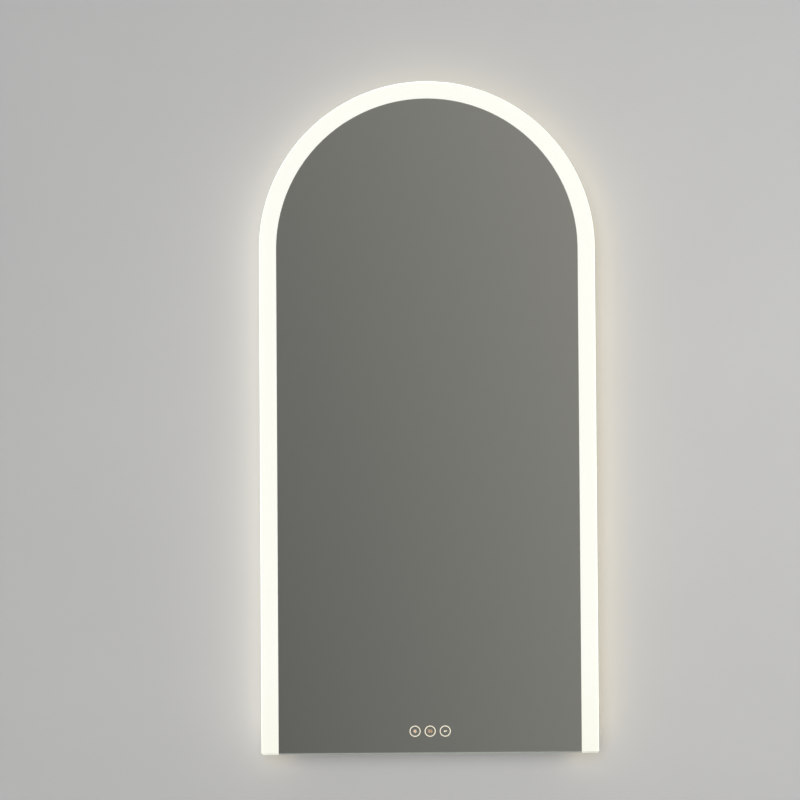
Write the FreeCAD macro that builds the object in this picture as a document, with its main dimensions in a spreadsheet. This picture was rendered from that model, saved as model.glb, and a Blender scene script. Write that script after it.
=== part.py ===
import FreeCAD, Part
import math
import os
import Sketcher
from FreeCAD import Placement, Rotation, Vector

# Arched bathroom mirror with a lit border, hung on a wall rail. Sizes are in millimetres.
# +Z is up, the mirror faces -Y and the wall is the plane Y = 0. The origin is the middle of
# the wall rail's screw row, on the wall.

doc = FreeCAD.newDocument("LightedMirror")
dims = doc.addObject("Spreadsheet::Sheet", "dims")
parts = []

sizes = {
    "mirror_width": 500,  # width of the glass, twice the radius of its arch
    "mirror_height": 1000,  # height of the glass
    "arch_foot": 90,  # foot of the arch above the screw row
    "glass_thickness": 5,  # float glass
    "glass_arris": 1,  # flat ground on the edge of the glass
    "film_thickness": 0.2,  # silvering, paint and safety film
    "band_width": 25,  # frosted border
    "band_margin": 1,  # chassis behind the silvering, past the border
    "tape_thickness": 0.8,  # bonding tape
    "tape_margin": 1,  # tape short of the flange it lies on

    "chassis_depth": 22,  # depth of the light profile
    "profile_wall": 1.5,  # wall of the profile and of the bottom rail
    "front_flange": 20,  # flange bonded to the glass
    "rear_flange": 14,  # flange under the back panel
    "bottom_inset": 6,  # underside of the bottom rail above the edge of the glass
    "bottom_flange": 13,  # front flange of the bottom rail
    "fit_gap": 0.2,  # clearance between pieces that slide into each other

    "cover_width": 12,  # opal cover across
    "cover_depth": 10,  # opal cover out from the profile
    "cover_wall": 1.2,  # wall of the opal cover
    "cover_bevel": 2,  # bevel on the outer corners of the cover
    "ledge_length": 4,  # ledges that hold the cover
    "ledge_wall": 1.2,  # thickness of the ledges
    "clip_bead": 0.5,  # height of the bead that the cover snaps behind
    "bead_length": 1,  # length of the bead
    "cap_thickness": 1.5,  # end caps of the channel
    "cap_plug": 4,  # plug of the end cap inside the cover

    "strip_width": 8,  # flexible light strip
    "strip_thickness": 0.3,  # light strip with its glue
    "chip_pitch": 25,  # one light chip to the next
    "chip_length": 2.8,  # light chip along the strip
    "chip_width": 3.5,  # light chip across the strip
    "chip_height": 0.8,  # light chip above the strip

    "panel_thickness": 1,  # back panel
    "hanging_gap": 11,  # back panel to the wall
    "vent_length": 50,  # vent slot
    "vent_width": 4,  # vent slot across
    "vent_pitch": 10,  # one vent slot to the next
    "lower_vents": 262,  # lowest vent above the edge of the glass
    "upper_vents": 150,  # lowest upper vent above the screw row

    "screw_radius": 1.5,  # small sheet screw
    "screw_head": 2.9,  # radius of its head
    "head_height": 1.7,  # height of its head
    "screw_length": 5,  # length of its shank
    "hole_gap": 0.15,  # screw hole wider than the screw, on the radius
    "side_screw_start": 60,  # lowest rim screw above the edge of the glass

    "key_thickness": 2.5,  # corner key, crimped in the profile and the bottom rail
    "key_length": 30,  # leg of the corner key
    "key_width": 14,  # corner key across

    "wall_rail_length": 320,  # wall rail
    "steel_thickness": 2,  # sheet of the wall rail and the hooks
    "wall_rail_height": 26,  # plate of the rail on the wall
    "lip_offset": 5,  # wall to the back of the rail's lip
    "lip_height": 14,  # lip above the rail's plate
    "wall_hole_radius": 3,  # half the width of a wall screw slot
    "wall_slot_length": 14,  # whole length of a wall screw slot
    "wall_slot_pitch": 240,  # one wall screw slot to the next
    "bend_radius": 1,  # inside of the sheet bends

    "hook_width": 60,  # hanging hook
    "hook_spacing": 220,  # middle of one hook to the middle of the other
    "hook_engagement": 10,  # hook below the top of the rail
    "hook_plate": 36,  # plate of the hook on the back panel
    "rivet_radius": 2,  # rivet of the hook
    "rivet_head": 4,  # radius of the rivet's head
    "rivet_tail": 3,  # radius of its upset end
    "rivet_rise": 1.2,  # height of the head and of the upset end
    "rivet_spacing": 36,  # two rivets of one hook

    "brace_wall": 1.5,  # cross brace sheet
    "brace_depth": 10,  # turned edges of the cross brace
    "brace_overlap": 10,  # cross brace on the flange of the profile

    "spacer_radius": 12,  # rubber spacer at the bottom
    "spacer_spread": 150,  # spacer from the middle
    "spacer_height": 60,  # spacer above the edge of the glass

    "driver_length": 150,  # power supply
    "driver_width": 42,  # power supply across
    "driver_height": 17,  # power supply off the back panel
    "driver_bevel": 2,  # bevel on the power supply
    "driver_ear": 11,  # screw ear of the power supply
    "ear_thickness": 2,  # thickness of the ear
    "driver_margin": 85.5,  # power supply to the profile on the left
    "service_height": 115,  # power supply and terminal box above the edge of the glass

    "box_length": 80,  # terminal box
    "box_width": 50,  # terminal box across
    "box_height": 19,  # terminal box off the back panel
    "box_wall": 2,  # terminal box wall
    "box_margin": 70.5,  # terminal box to the profile on the right
    "box_tab": 8,  # snap tab of the terminal box
    "tab_reach": 2,  # snap tab past the back panel
    "block_length": 30,  # terminal block
    "block_width": 14,  # terminal block across
    "block_height": 12,  # terminal block
    "block_offset": 20,  # terminal block beside the cable inlet
    "inlet_radius": 4,  # bore of the cable grommet
    "grommet_groove": 7,  # grommet in the panel
    "grommet_flange": 10,  # radius of the grommet's flanges
    "flange_thickness": 2,  # grommet flange
    "sleeve_length": 3,  # grommet sleeve in front of the panel

    "pad_width": 320,  # demister pad
    "pad_height": 420,  # demister pad
    "pad_thickness": 0.4,  # demister pad
    "pad_top": 20,  # top of the demister pad above the foot of the arch
    "pad_corner": 12,  # corner radius of the demister pad

    "symbol_height": 32.7,  # touch windows above the edge of the glass
    "symbol_pitch": 22.4,  # one touch window to the next
    "ring_outer": 8.3,  # outer radius of a ring
    "ring_inner": 6.7,  # inner radius of a ring
    "housing_length": 72,  # touch housing
    "housing_width": 22,  # touch housing
    "housing_depth": 4,  # touch housing
    "tile_side": 18,  # opal tile behind a ring
    "tile_thickness": 1,  # opal tile
    "board_thickness": 1.6,  # touch board
    "connector_length": 8,  # connector on the touch board
    "contact_side": 3,  # foam contact behind a tile
    "contact_offset": 5,  # contact beside the lamp
    "lamp_side": 2,  # lamp behind a ring
    "lamp_height": 0.9,  # lamp behind a ring

    "lead_width": 5,  # flat lead across
    "lead_thickness": 2,  # flat lead
    "lead_bend": 12,  # bend of a lead
    "strip_lead_run": 48,  # strip lead beside the power supply
    "touch_lead_run": 24,  # touch lead beside the power supply
    "lead_spread": 11,  # lead beside the middle of the power supply
    "strip_lead_height": 50,  # strip lead through the profile above the edge of the glass
    "clip_width": 8,  # lead clip across
    "clip_length": 6,  # lead clip along the lead
}
for line, (name, value) in enumerate(sizes.items(), 1):
    dims.set("A%d" % line, name)
    dims.set("B%d" % line, str(value))
    dims.setAlias("B%d" % line, name)
doc.recompute()

# Places that many pieces share. Depths are measured out from the wall, and insets inwards
# from the edge of the glass.
half = "dims.mirror_width/2"
archZ = "dims.arch_foot"
foot = f"({archZ}+{half}-dims.mirror_height)"
panelRear = "dims.hanging_gap"
panelFront = "(dims.hanging_gap+dims.panel_thickness)"
chassisFront = f"({panelFront}+dims.chassis_depth)"
filmRear = f"({chassisFront}+dims.tape_thickness)"
glassRear = f"({filmRear}+dims.film_thickness)"
side = "(dims.band_width+dims.band_margin)"
inside = f"({side}+dims.profile_wall)"
railZ = f"({foot}+dims.bottom_inset)"
middle = f"({panelFront}+dims.chassis_depth/2)"
lipTop = "(dims.wall_rail_height/2+dims.lip_height)"
hookTop = f"({lipTop}+dims.steel_thickness)"
braceZ = f"({hookTop}+dims.hook_plate/2)"
symbolZ = f"({foot}+dims.symbol_height)"
serviceZ = f"({foot}+dims.service_height)"
driverX = f"({inside}-{half}+dims.driver_margin+dims.driver_length/2)"
boxX = f"({half}-{inside}-dims.box_margin-dims.box_length/2)"


def number(expression):
    return float(dims.evalExpression(expression))


def plane(body, role):
    return next(item for item in body.Origin.OriginFeatures if item.Role == role)


def newBody(label):
    body = doc.addObject("PartDesign::Body", label)
    body.Label = label
    return body


def keep(part):
    parts.append(part)
    return part


def newSketch(body, name, role, x="0", y="0", z="0"):
    sketch = body.newObject("Sketcher::SketchObject", name)
    sketch.AttachmentSupport = (plane(body, role), [""])
    sketch.MapMode = "FlatFace"
    sketch.setExpression("AttachmentOffset.Base.x", x)
    sketch.setExpression("AttachmentOffset.Base.y", y)
    sketch.setExpression("AttachmentOffset.Base.z", z)
    return sketch


def constrain(sketch, rules):
    """Adds the rules (kind, expression, *target) and binds each to its expression."""
    first = sketch.ConstraintCount
    sketch.addConstraint([Sketcher.Constraint(kind, *target, number(expression))
                          for kind, expression, *target in rules])
    for i, (kind, expression, *target) in enumerate(rules, first):
        sketch.setExpression("Constraints[%d]" % i, expression)


def spot(index, point, x, y):
    """Rules that put a point of the sketch at (x, y)."""
    return [("DistanceX", x, -1, 1, index, point), ("DistanceY", y, -1, 1, index, point)]


def polygon(sketch, corners):
    first = sketch.GeometryCount
    points = [Vector(number(x), number(y), 0) for x, y in corners]
    ends = points[1:] + points[:1]
    sketch.addGeometry([Part.LineSegment(a, b) for a, b in zip(points, ends)], False)
    sketch.addConstraint([
        Sketcher.Constraint("Coincident", first + i, 2, first + (i + 1) % len(corners), 1)
        for i in range(len(corners))
    ])
    constrain(sketch, [rule for i, corner in enumerate(corners, first)
                       for rule in spot(i, 1, *corner)])


def rectangle(sketch, left, low, right, high):
    polygon(sketch, [(left, low), (right, low), (right, high), (left, high)])


def circle(sketch, x, y, radius):
    centre = Vector(number(x), number(y), 0)
    index = sketch.addGeometry(Part.Circle(centre, Vector(0, 0, 1), number(radius)), False)
    constrain(sketch, spot(index, 3, x, y) + [("Radius", radius, index)])


def evenSided(sketch, x, y, radius, sides):
    """A regular polygon, for small parts that repeat and for what their heads cover."""
    angles = [360 * (k + 0.5) / sides for k in range(sides)]
    polygon(sketch, [(f"{x}+({radius})*cos({angle} deg)", f"{y}+({radius})*sin({angle} deg)")
                     for angle in angles])


def slot(sketch, x, y, reach, radius):
    """A level slot with round ends: reach is from its middle to the middle of an end."""
    rise = Vector(0, number(radius), 0)
    near = Vector(number(f"{x}-({reach})"), number(y), 0)
    far = Vector(number(f"{x}+({reach})"), number(y), 0)
    up = Vector(0, 0, 1)
    quarter = math.pi / 2
    first = sketch.addGeometry([
        Part.ArcOfCircle(Part.Circle(near, up, rise.y), quarter, 3 * quarter),
        Part.LineSegment(near - rise, far - rise),
        Part.ArcOfCircle(Part.Circle(far, up, rise.y), -quarter, quarter),
        Part.LineSegment(far + rise, near + rise),
    ], False)[0]
    for i in range(4):
        following = first + (i + 1) % 4
        sketch.addConstraint(Sketcher.Constraint("Tangent", first + i, 2, following, 1))
    constrain(sketch, [("Radius", radius, first)] + spot(first, 3, f"{x}-({reach})", y)
              + spot(first + 2, 3, f"{x}+({reach})", y))


def archWay(sketch, inset, low):
    """Up the left side, over the arch and down the right side."""
    radius = number(f"{half}-{inset}")
    rise = number(archZ)
    bottom = number(low)
    arc = Part.ArcOfCircle(Part.Circle(Vector(0, rise, 0), Vector(0, 0, 1), radius), 0, math.pi)
    sketch.addGeometry([
        Part.LineSegment(Vector(-radius, bottom, 0), Vector(-radius, rise, 0)),
        arc,
        Part.LineSegment(Vector(radius, rise, 0), Vector(radius, bottom, 0)),
    ], False)
    sketch.addConstraint([
        Sketcher.Constraint("Coincident", 0, 2, 1, 2),
        Sketcher.Constraint("Coincident", 1, 1, 2, 1),
        Sketcher.Constraint("Vertical", 0),
        Sketcher.Constraint("Vertical", 2),
    ])
    constrain(sketch, spot(1, 3, "0", archZ) + [
        ("Radius", f"{half}-{inset}", 1),
        ("DistanceY", archZ, -1, 1, 1, 1),
        ("DistanceY", archZ, -1, 1, 1, 2),
        ("DistanceY", low, -1, 1, 0, 1),
        ("DistanceY", low, -1, 1, 2, 2),
    ])


def archOutline(sketch, inset, low):
    archWay(sketch, inset, low)
    radius = number(f"{half}-{inset}")
    bottom = number(low)
    line = Part.LineSegment(Vector(radius, bottom, 0), Vector(-radius, bottom, 0))
    sketch.addGeometry(line, False)
    sketch.addConstraint(Sketcher.Constraint("Coincident", 2, 2, 3, 1))
    sketch.addConstraint(Sketcher.Constraint("Coincident", 3, 2, 0, 1))


def pad(body, sketch, length, middled=False):
    feature = body.newObject("PartDesign::Pad", sketch.Name + "Pad")
    feature.Profile = sketch
    feature.setExpression("Length", length)
    feature.Midplane = middled
    doc.recompute()
    return feature


def pocket(body, sketch, depth, middled=False):
    before = body.Shape.Volume
    feature = body.newObject("PartDesign::Pocket", sketch.Name + "Pocket")
    feature.Profile = sketch
    feature.setExpression("Length", depth)
    feature.Midplane = middled
    doc.recompute()
    if body.Shape.Volume > before - 0.01:
        raise RuntimeError(sketch.Name + " cuts nothing")
    return feature


def sweepRound(body, section, low):
    """Sweeps a section given as (inset, depth) corners along the sides and the arch."""
    profile = newSketch(body, "section", "XY_Plane", z=low)
    polygon(profile, [(f"{inset}-{half}", f"-({depth})") for inset, depth in section])
    way = newSketch(body, "way", "XZ_Plane")
    archWay(way, side, low)
    doc.recompute()
    pipe = body.newObject("PartDesign::AdditivePipe", "sweep")
    pipe.Profile = profile
    pipe.Spine = (way, ["Edge1", "Edge2", "Edge3"])
    doc.recompute()
    return pipe


def twin(body, *features):
    copy = body.newObject("PartDesign::Mirrored", "twin")
    copy.Originals = list(features)
    copy.MirrorPlane = (plane(body, "YZ_Plane"), [""])
    body.Tip = copy
    doc.recompute()
    return copy


def row(body, feature, sketch, axis, pitch, count):
    copy = body.newObject("PartDesign::LinearPattern", "row")
    copy.Originals = [feature]
    copy.Direction = (sketch, [axis])
    copy.Mode = "Spacing"
    copy.setExpression("Offset", pitch)
    copy.setExpression("Occurrences", count)
    body.Tip = copy
    doc.recompute()
    return copy


def bend(body, feature, radius, spots):
    """Rounds the sheet bends that run along X through the given (depth, height) spots."""
    names = []
    for i, edge in enumerate(feature.Shape.Edges):
        middlePoint = edge.CenterOfMass
        level = abs(edge.BoundBox.YLength) < 0.01 and abs(edge.BoundBox.ZLength) < 0.01
        for depth, height in spots:
            close = abs(middlePoint.y + number(depth)) < 0.01
            if level and close and abs(middlePoint.z - number(height)) < 0.01:
                names.append("Edge%d" % (i + 1))
    fillet = body.newObject("PartDesign::Fillet", "bend")
    fillet.Base = (feature, names)
    fillet.setExpression("Radius", radius)
    doc.recompute()
    return fillet


def turned(name, profile):
    """A turned form about Y: profile corners are (radius, distance forward of its seat)."""
    body = newBody(name)
    sketch = newSketch(body, "outline", "XY_Plane")
    polygon(sketch, [(radius, f"-({forward})") for radius, forward in profile])
    feature = body.newObject("PartDesign::Revolution", "turn")
    feature.Profile = sketch
    feature.ReferenceAxis = (sketch, ["V_Axis"])
    feature.Angle = 360
    doc.recompute()
    return body


def studded(name, sections):
    """A fastener along Y: sections are (radius, sides, start, length), forward of its seat."""
    body = newBody(name)
    for i, (radius, sides, start, length) in enumerate(sections):
        sketch = newSketch(body, "section%d" % (i + 1), "XZ_Plane", z=start)
        evenSided(sketch, "0", "0", radius, sides)
        pad(body, sketch, length)
    return body


def copies(label, form, spots, turn=Rotation()):
    """Copies of one form, each at (x, depth, height)."""
    links = []
    for i, spot in enumerate(spots):
        link = doc.addObject("App::Link", "%s%d" % (label, i + 1))
        link.LinkedObject = form
        link.Placement = Placement(Vector(), turn)
        link.setExpression("Placement.Base.x", spot[0])
        link.setExpression("Placement.Base.y", f"-({spot[1]})")
        link.setExpression("Placement.Base.z", spot[2])
        links.append(link)
    compound = doc.addObject("Part::Compound", label)
    compound.Label = label
    compound.Links = links
    doc.recompute()
    return compound


def leadGap(sketch, x, y, wide):
    """A window for a flat lead, which lies across the sketch's x or y."""
    room = {"x": "(dims.lead_width/2+dims.hole_gap)", "y": "(dims.lead_thickness/2+dims.hole_gap)"}
    if wide == "y":
        room = {"x": room["y"], "y": room["x"]}
    rectangle(sketch, f"{x}-{room['x']}", f"{y}-{room['y']}",
              f"{x}+{room['x']}", f"{y}+{room['y']}")


def holes(body, name, depth, length, spots, radius):
    sketch = newSketch(body, name, "XZ_Plane", z=depth)
    for x, z in spots:
        evenSided(sketch, x, z, radius, 8)
    return pocket(body, sketch, length)


# Rim screws: up both sides, over the arch and in the middle of the bottom rail.
rimReach = f"({half}-{side}-dims.rear_flange/2)"
sideScrewCount = 2
archScrewCount = 3
rimScrews = [("0", f"{railZ}+dims.rear_flange/2")]
for k in range(sideScrewCount):
    start = f"({foot}+dims.side_screw_start)"
    height = f"({start}+({archZ}-{start})*{k}/{sideScrewCount})"
    rimScrews += [(f"-{rimReach}", height), (rimReach, height)]
for k in range(archScrewCount):
    angle = 180 * (k + 0.5) / archScrewCount
    rimScrews.append((f"-{rimReach}*cos({angle} deg)", f"{archZ}+{rimReach}*sin({angle} deg)"))

rivets = []
for handed in (-1, 1):
    for step in (-1, 1):
        across = f"{handed}*dims.hook_spacing/2+{step}*dims.rivet_spacing/2"
        rivets.append((across, braceZ))

driverScrews = []
for end in (-1, 1):
    reach = "(dims.driver_length/2+dims.driver_ear/2)"
    driverScrews.append((f"{driverX}+{end}*{reach}", serviceZ))

tapHole = "dims.screw_radius+dims.hole_gap"
symbols = [f"{k}*dims.symbol_pitch" for k in (-1, 0, 1)]


def glassPieces():
    glass = keep(newBody("mirror_glass"))
    outline = newSketch(glass, "outline", "XZ_Plane", z=glassRear)
    archOutline(outline, "0", foot)
    plate = pad(glass, outline, "dims.glass_thickness")
    rims = [f"Face{i + 1}" for i, face in enumerate(plate.Shape.Faces)
            if face.BoundBox.YLength < 0.01]
    arris = glass.newObject("PartDesign::Chamfer", "arris")
    arris.Base = (plate, rims)
    arris.setExpression("Size", "dims.glass_arris")
    doc.recompute()

    band = keep(newBody("frosted_band"))
    sweepRound(band, [
        ("dims.glass_arris", filmRear),
        ("dims.band_width", filmRear),
        ("dims.band_width", glassRear),
        ("dims.glass_arris", glassRear),
    ], f"({foot}+dims.glass_arris)")

    # The silvering stops at the border. It is open along each ring, so the disc inside a ring
    # stays as a small island on the glass.
    film = keep(newBody("silvered_film"))
    outline = newSketch(film, "outline", "XZ_Plane", z=filmRear)
    archOutline(outline, "dims.band_width", f"({foot}+dims.glass_arris)")
    for x in symbols:
        circle(outline, x, symbolZ, "dims.ring_outer")
        circle(outline, x, symbolZ, "dims.ring_inner")
    pad(film, outline, "dims.film_thickness")


def chassisPieces():
    # Section of the bent profile: rear flange, web and front flange, with two ledges outside
    # the web that hold the light strip between them and the opal cover behind their beads.
    mouth = "(dims.cover_width/2+dims.fit_gap)"
    tip = f"({side}-dims.ledge_length)"
    grip = f"({tip}+dims.bead_length)"
    section = [
        (side, panelFront),
        (f"{side}+dims.rear_flange", panelFront),
        (f"{side}+dims.rear_flange", f"{panelFront}+dims.profile_wall"),
        (inside, f"{panelFront}+dims.profile_wall"),
        (inside, f"{chassisFront}-dims.profile_wall"),
        (f"{side}+dims.front_flange", f"{chassisFront}-dims.profile_wall"),
        (f"{side}+dims.front_flange", chassisFront),
        (side, chassisFront),
    ]
    ledge = [
        (side, f"{mouth}+dims.ledge_wall"),
        (tip, f"{mouth}+dims.ledge_wall"),
        (tip, f"{mouth}-dims.clip_bead"),
        (grip, f"{mouth}-dims.clip_bead"),
        (grip, mouth),
        (side, mouth),
    ]
    section += [(inset, f"{middle}+({away})") for inset, away in ledge]
    section += [(inset, f"{middle}-({away})") for inset, away in reversed(ledge)]
    profile = keep(newBody("arch_profile"))
    sweepRound(profile, section, railZ)
    flangeFront = f"{panelFront}+dims.profile_wall"
    holes(profile, "screwHoles", flangeFront, "dims.profile_wall", rimScrews[1:], tapHole)
    leadHole = newSketch(profile, "leadHole", "YZ_Plane", z=f"{inside}-{half}")
    stripZ = f"({foot}+dims.strip_lead_height)"
    leadGap(leadHole, f"-{middle}", stripZ, wide="x")
    pocket(profile, leadHole, "dims.profile_wall")

    strip = keep(newBody("light_strip"))
    sweepRound(strip, [
        (f"{side}-dims.strip_thickness", f"{middle}-dims.strip_width/2"),
        (side, f"{middle}-dims.strip_width/2"),
        (side, f"{middle}+dims.strip_width/2"),
        (f"{side}-dims.strip_thickness", f"{middle}+dims.strip_width/2"),
    ], railZ)

    chips = keep(newBody("light_chips"))
    chipOut = f"({half}-{side}+dims.strip_thickness)"
    chipStart = f"({railZ}+dims.cap_plug+dims.chip_pitch/2)"
    pairs = newSketch(chips, "pairs", "XZ_Plane", z=middle)
    for low, high in ((f"-{chipOut}-dims.chip_height", f"-{chipOut}"),
                      (chipOut, f"{chipOut}+dims.chip_height")):
        rectangle(pairs, low, chipStart, high, f"{chipStart}+dims.chip_length")
    first = pad(chips, pairs, "dims.chip_width", middled=True)
    row(chips, first, pairs, "V_Axis", "dims.chip_pitch",
        f"floor(({archZ}-{chipStart}-dims.chip_length)/dims.chip_pitch)+1")
    over = newSketch(chips, "over", "XZ_Plane", y=archZ, z=middle)
    rectangle(over, f"-{chipOut}-dims.chip_height", "-dims.chip_length/2",
              f"-{chipOut}", "dims.chip_length/2")
    start = pad(chips, over, "dims.chip_width", middled=True)
    steps = f"floor({chipOut}*pi/dims.chip_pitch)"
    fan = chips.newObject("PartDesign::PolarPattern", "fan")
    fan.Originals = [start]
    fan.Axis = (over, ["N_Axis"])
    fan.Reversed = True
    fan.Angle = 180
    fan.setExpression("Occurrences", f"{steps}+1")
    chips.Tip = fan
    doc.recompute()

    # The cover is a bevelled U. A groove in each leg takes the bead of the ledge.
    outer = f"({side}-dims.cover_depth)"
    grooveStart = f"({tip}-dims.fit_gap)"
    grooveEnd = f"({grip}+dims.fit_gap)"
    leg = "dims.cover_width/2"
    groove = f"({leg}-dims.clip_bead)"
    root = f"({side}-dims.fit_gap)"
    outside = [
        (root, leg),
        (grooveEnd, leg),
        (grooveEnd, groove),
        (grooveStart, groove),
        (grooveStart, leg),
        (f"{outer}+dims.cover_bevel", leg),
        (outer, f"{leg}-dims.cover_bevel"),
    ]
    hollow = [
        (f"{outer}+dims.cover_wall", f"{leg}-dims.cover_wall"),
        (root, f"{leg}-dims.cover_wall"),
    ]
    ring = [(inset, f"{middle}+({away})") for inset, away in outside]
    ring += [(inset, f"{middle}-({away})") for inset, away in reversed(outside)]
    ring += [(inset, f"{middle}-({away})") for inset, away in reversed(hollow)]
    ring += [(inset, f"{middle}+({away})") for inset, away in hollow]
    cover = keep(newBody("opal_cover"))
    sweepRound(cover, ring, railZ)

    # Each end of the channel is shut by a cap with a plug inside the cover.
    caps = keep(newBody("end_caps"))
    plate = newSketch(caps, "plate", "XY_Plane", z=f"{railZ}-dims.cap_thickness")
    reach = f"({mouth}+dims.ledge_wall)"
    rectangle(plate, f"{outer}-{half}", f"-{middle}-{reach}",
              f"{inside}-{half}", f"-{middle}+{reach}")
    lid = pad(caps, plate, "dims.cap_thickness")
    plug = newSketch(caps, "plug", "XY_Plane", z=railZ)
    tight = f"({leg}-dims.cover_wall-dims.fit_gap)"
    rectangle(plug, f"{outer}+dims.cover_wall+dims.fit_gap-{half}", f"-{middle}-{tight}",
              f"{side}-dims.strip_thickness-dims.fit_gap-{half}", f"-{middle}+{tight}")
    stopper = pad(caps, plug, "dims.cap_plug")
    twin(caps, lid, stopper)


def bottomPieces():
    # The bottom rail is a channel open upwards. Its ends are notched, so that a tongue of its
    # web reaches the web of the profile between the profile's flanges.
    rail = keep(newBody("bottom_rail"))
    section = newSketch(rail, "section", "YZ_Plane")
    wall = "dims.profile_wall"
    polygon(section, [
        (f"-{panelFront}", railZ),
        (f"-{panelFront}", f"{railZ}+dims.rear_flange"),
        (f"-{panelFront}-{wall}", f"{railZ}+dims.rear_flange"),
        (f"-{panelFront}-{wall}", f"{railZ}+{wall}"),
        (f"{wall}-{chassisFront}", f"{railZ}+{wall}"),
        (f"{wall}-{chassisFront}", f"{railZ}+dims.bottom_flange"),
        (f"-{chassisFront}", f"{railZ}+dims.bottom_flange"),
        (f"-{chassisFront}", railZ),
    ])
    pad(rail, section, f"2*({half}-{inside}-dims.fit_gap)", middled=True)
    notch = newSketch(rail, "notches", "XY_Plane", z=f"{railZ}+dims.front_flange")
    for flange, low, high in (
            ("dims.rear_flange", f"-{panelFront}-{wall}-dims.fit_gap", f"-{panelFront}"),
            ("dims.front_flange", f"-{chassisFront}", f"{wall}+dims.fit_gap-{chassisFront}")):
        rectangle(notch, f"{inside}-{half}", low, f"{side}+{flange}+dims.fit_gap-{half}", high)
    cut = pocket(rail, notch, "dims.front_flange")
    twin(rail, cut)
    flangeFront = f"{panelFront}+{wall}"
    holes(rail, "screwHole", flangeFront, wall, rimScrews[:1], tapHole)

    keys = keep(newBody("corner_keys"))
    angle = newSketch(keys, "angle", "XZ_Plane", z=middle)
    x = f"{inside}-{half}"
    z = f"({railZ}+{wall})"
    thick = "dims.key_thickness"
    long = "dims.key_length"
    polygon(angle, [
        (x, z), (f"{x}+{long}", z), (f"{x}+{long}", f"{z}+{thick}"),
        (f"{x}+{thick}", f"{z}+{thick}"), (f"{x}+{thick}", f"{z}+{long}"), (x, f"{z}+{long}"),
    ])
    twin(keys, pad(keys, angle, "dims.key_width", middled=True))


def fasteners():
    # A sheet screw seats under its head at its own origin and points forward.
    screw = studded("sheet_screw", [
        ("dims.screw_head", 6, "-dims.head_height", "dims.head_height"),
        ("dims.screw_radius", 8, "0", "dims.screw_length"),
    ])
    keep(copies("rim_screws", screw, [(x, panelRear, z) for x, z in rimScrews]))

    # The power supply's screws go in from the front, through an ear and the back panel.
    backwards = Rotation(Vector(0, 0, 1), 180)
    seat = f"{panelFront}+dims.ear_thickness"
    spots = [(x, seat, z) for x, z in driverScrews]
    keep(copies("driver_screws", screw, spots, backwards))

    grip = "(dims.steel_thickness+dims.panel_thickness+dims.brace_wall)"
    rivet = studded("rivet", [
        ("dims.rivet_head", 8, "-dims.rivet_rise", "dims.rivet_rise"),
        ("dims.rivet_radius", 8, "0", grip),
        ("dims.rivet_tail", 8, grip, "dims.rivet_rise"),
    ])
    seat = f"{panelRear}-dims.steel_thickness"
    keep(copies("hook_rivets", rivet, [(x, seat, z) for x, z in rivets]))


def tapePieces():
    tape = keep(newBody("bonding_tape"))
    near = f"({side}+dims.tape_margin)"
    far = f"({side}+dims.front_flange-dims.tape_margin)"
    low = f"({railZ}+dims.tape_margin)"
    sweepRound(tape, [
        (near, chassisFront), (far, chassisFront), (far, filmRear), (near, filmRear),
    ], low)
    strip = newSketch(tape, "strip", "XZ_Plane", z=chassisFront)
    reach = f"({half}-{far}-dims.tape_margin)"
    rectangle(strip, f"-{reach}", low, reach, f"{railZ}+dims.bottom_flange-dims.tape_margin")
    pad(tape, strip, "dims.tape_thickness")

    heater = keep(newBody("demister_pad"))
    outline = newSketch(heater, "outline", "XZ_Plane", z=f"{filmRear}-dims.pad_thickness")
    top = f"({archZ}+dims.pad_top)"
    rectangle(outline, "-dims.pad_width/2", f"{top}-dims.pad_height", "dims.pad_width/2", top)
    sheet = pad(heater, outline, "dims.pad_thickness")
    corners = [f"Edge{i + 1}" for i, edge in enumerate(sheet.Shape.Edges)
               if edge.BoundBox.XLength < 0.01 and edge.BoundBox.ZLength < 0.01]
    fillet = heater.newObject("PartDesign::Fillet", "corners")
    fillet.Base = (sheet, corners)
    fillet.setExpression("Radius", "dims.pad_corner")
    doc.recompute()


def boxTabs(sketch, gap):
    """Outline of the terminal box's two snap tabs, or of their slots with a gap."""
    for end in (-1, 1):
        low = f"{serviceZ}+{end}*(dims.box_width/2-dims.box_wall/2)-dims.box_wall/2"
        rectangle(sketch, f"{boxX}-dims.box_tab/2-{gap}", f"{low}-{gap}",
                  f"{boxX}+dims.box_tab/2+{gap}", f"{low}+dims.box_wall+{gap}")


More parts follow.
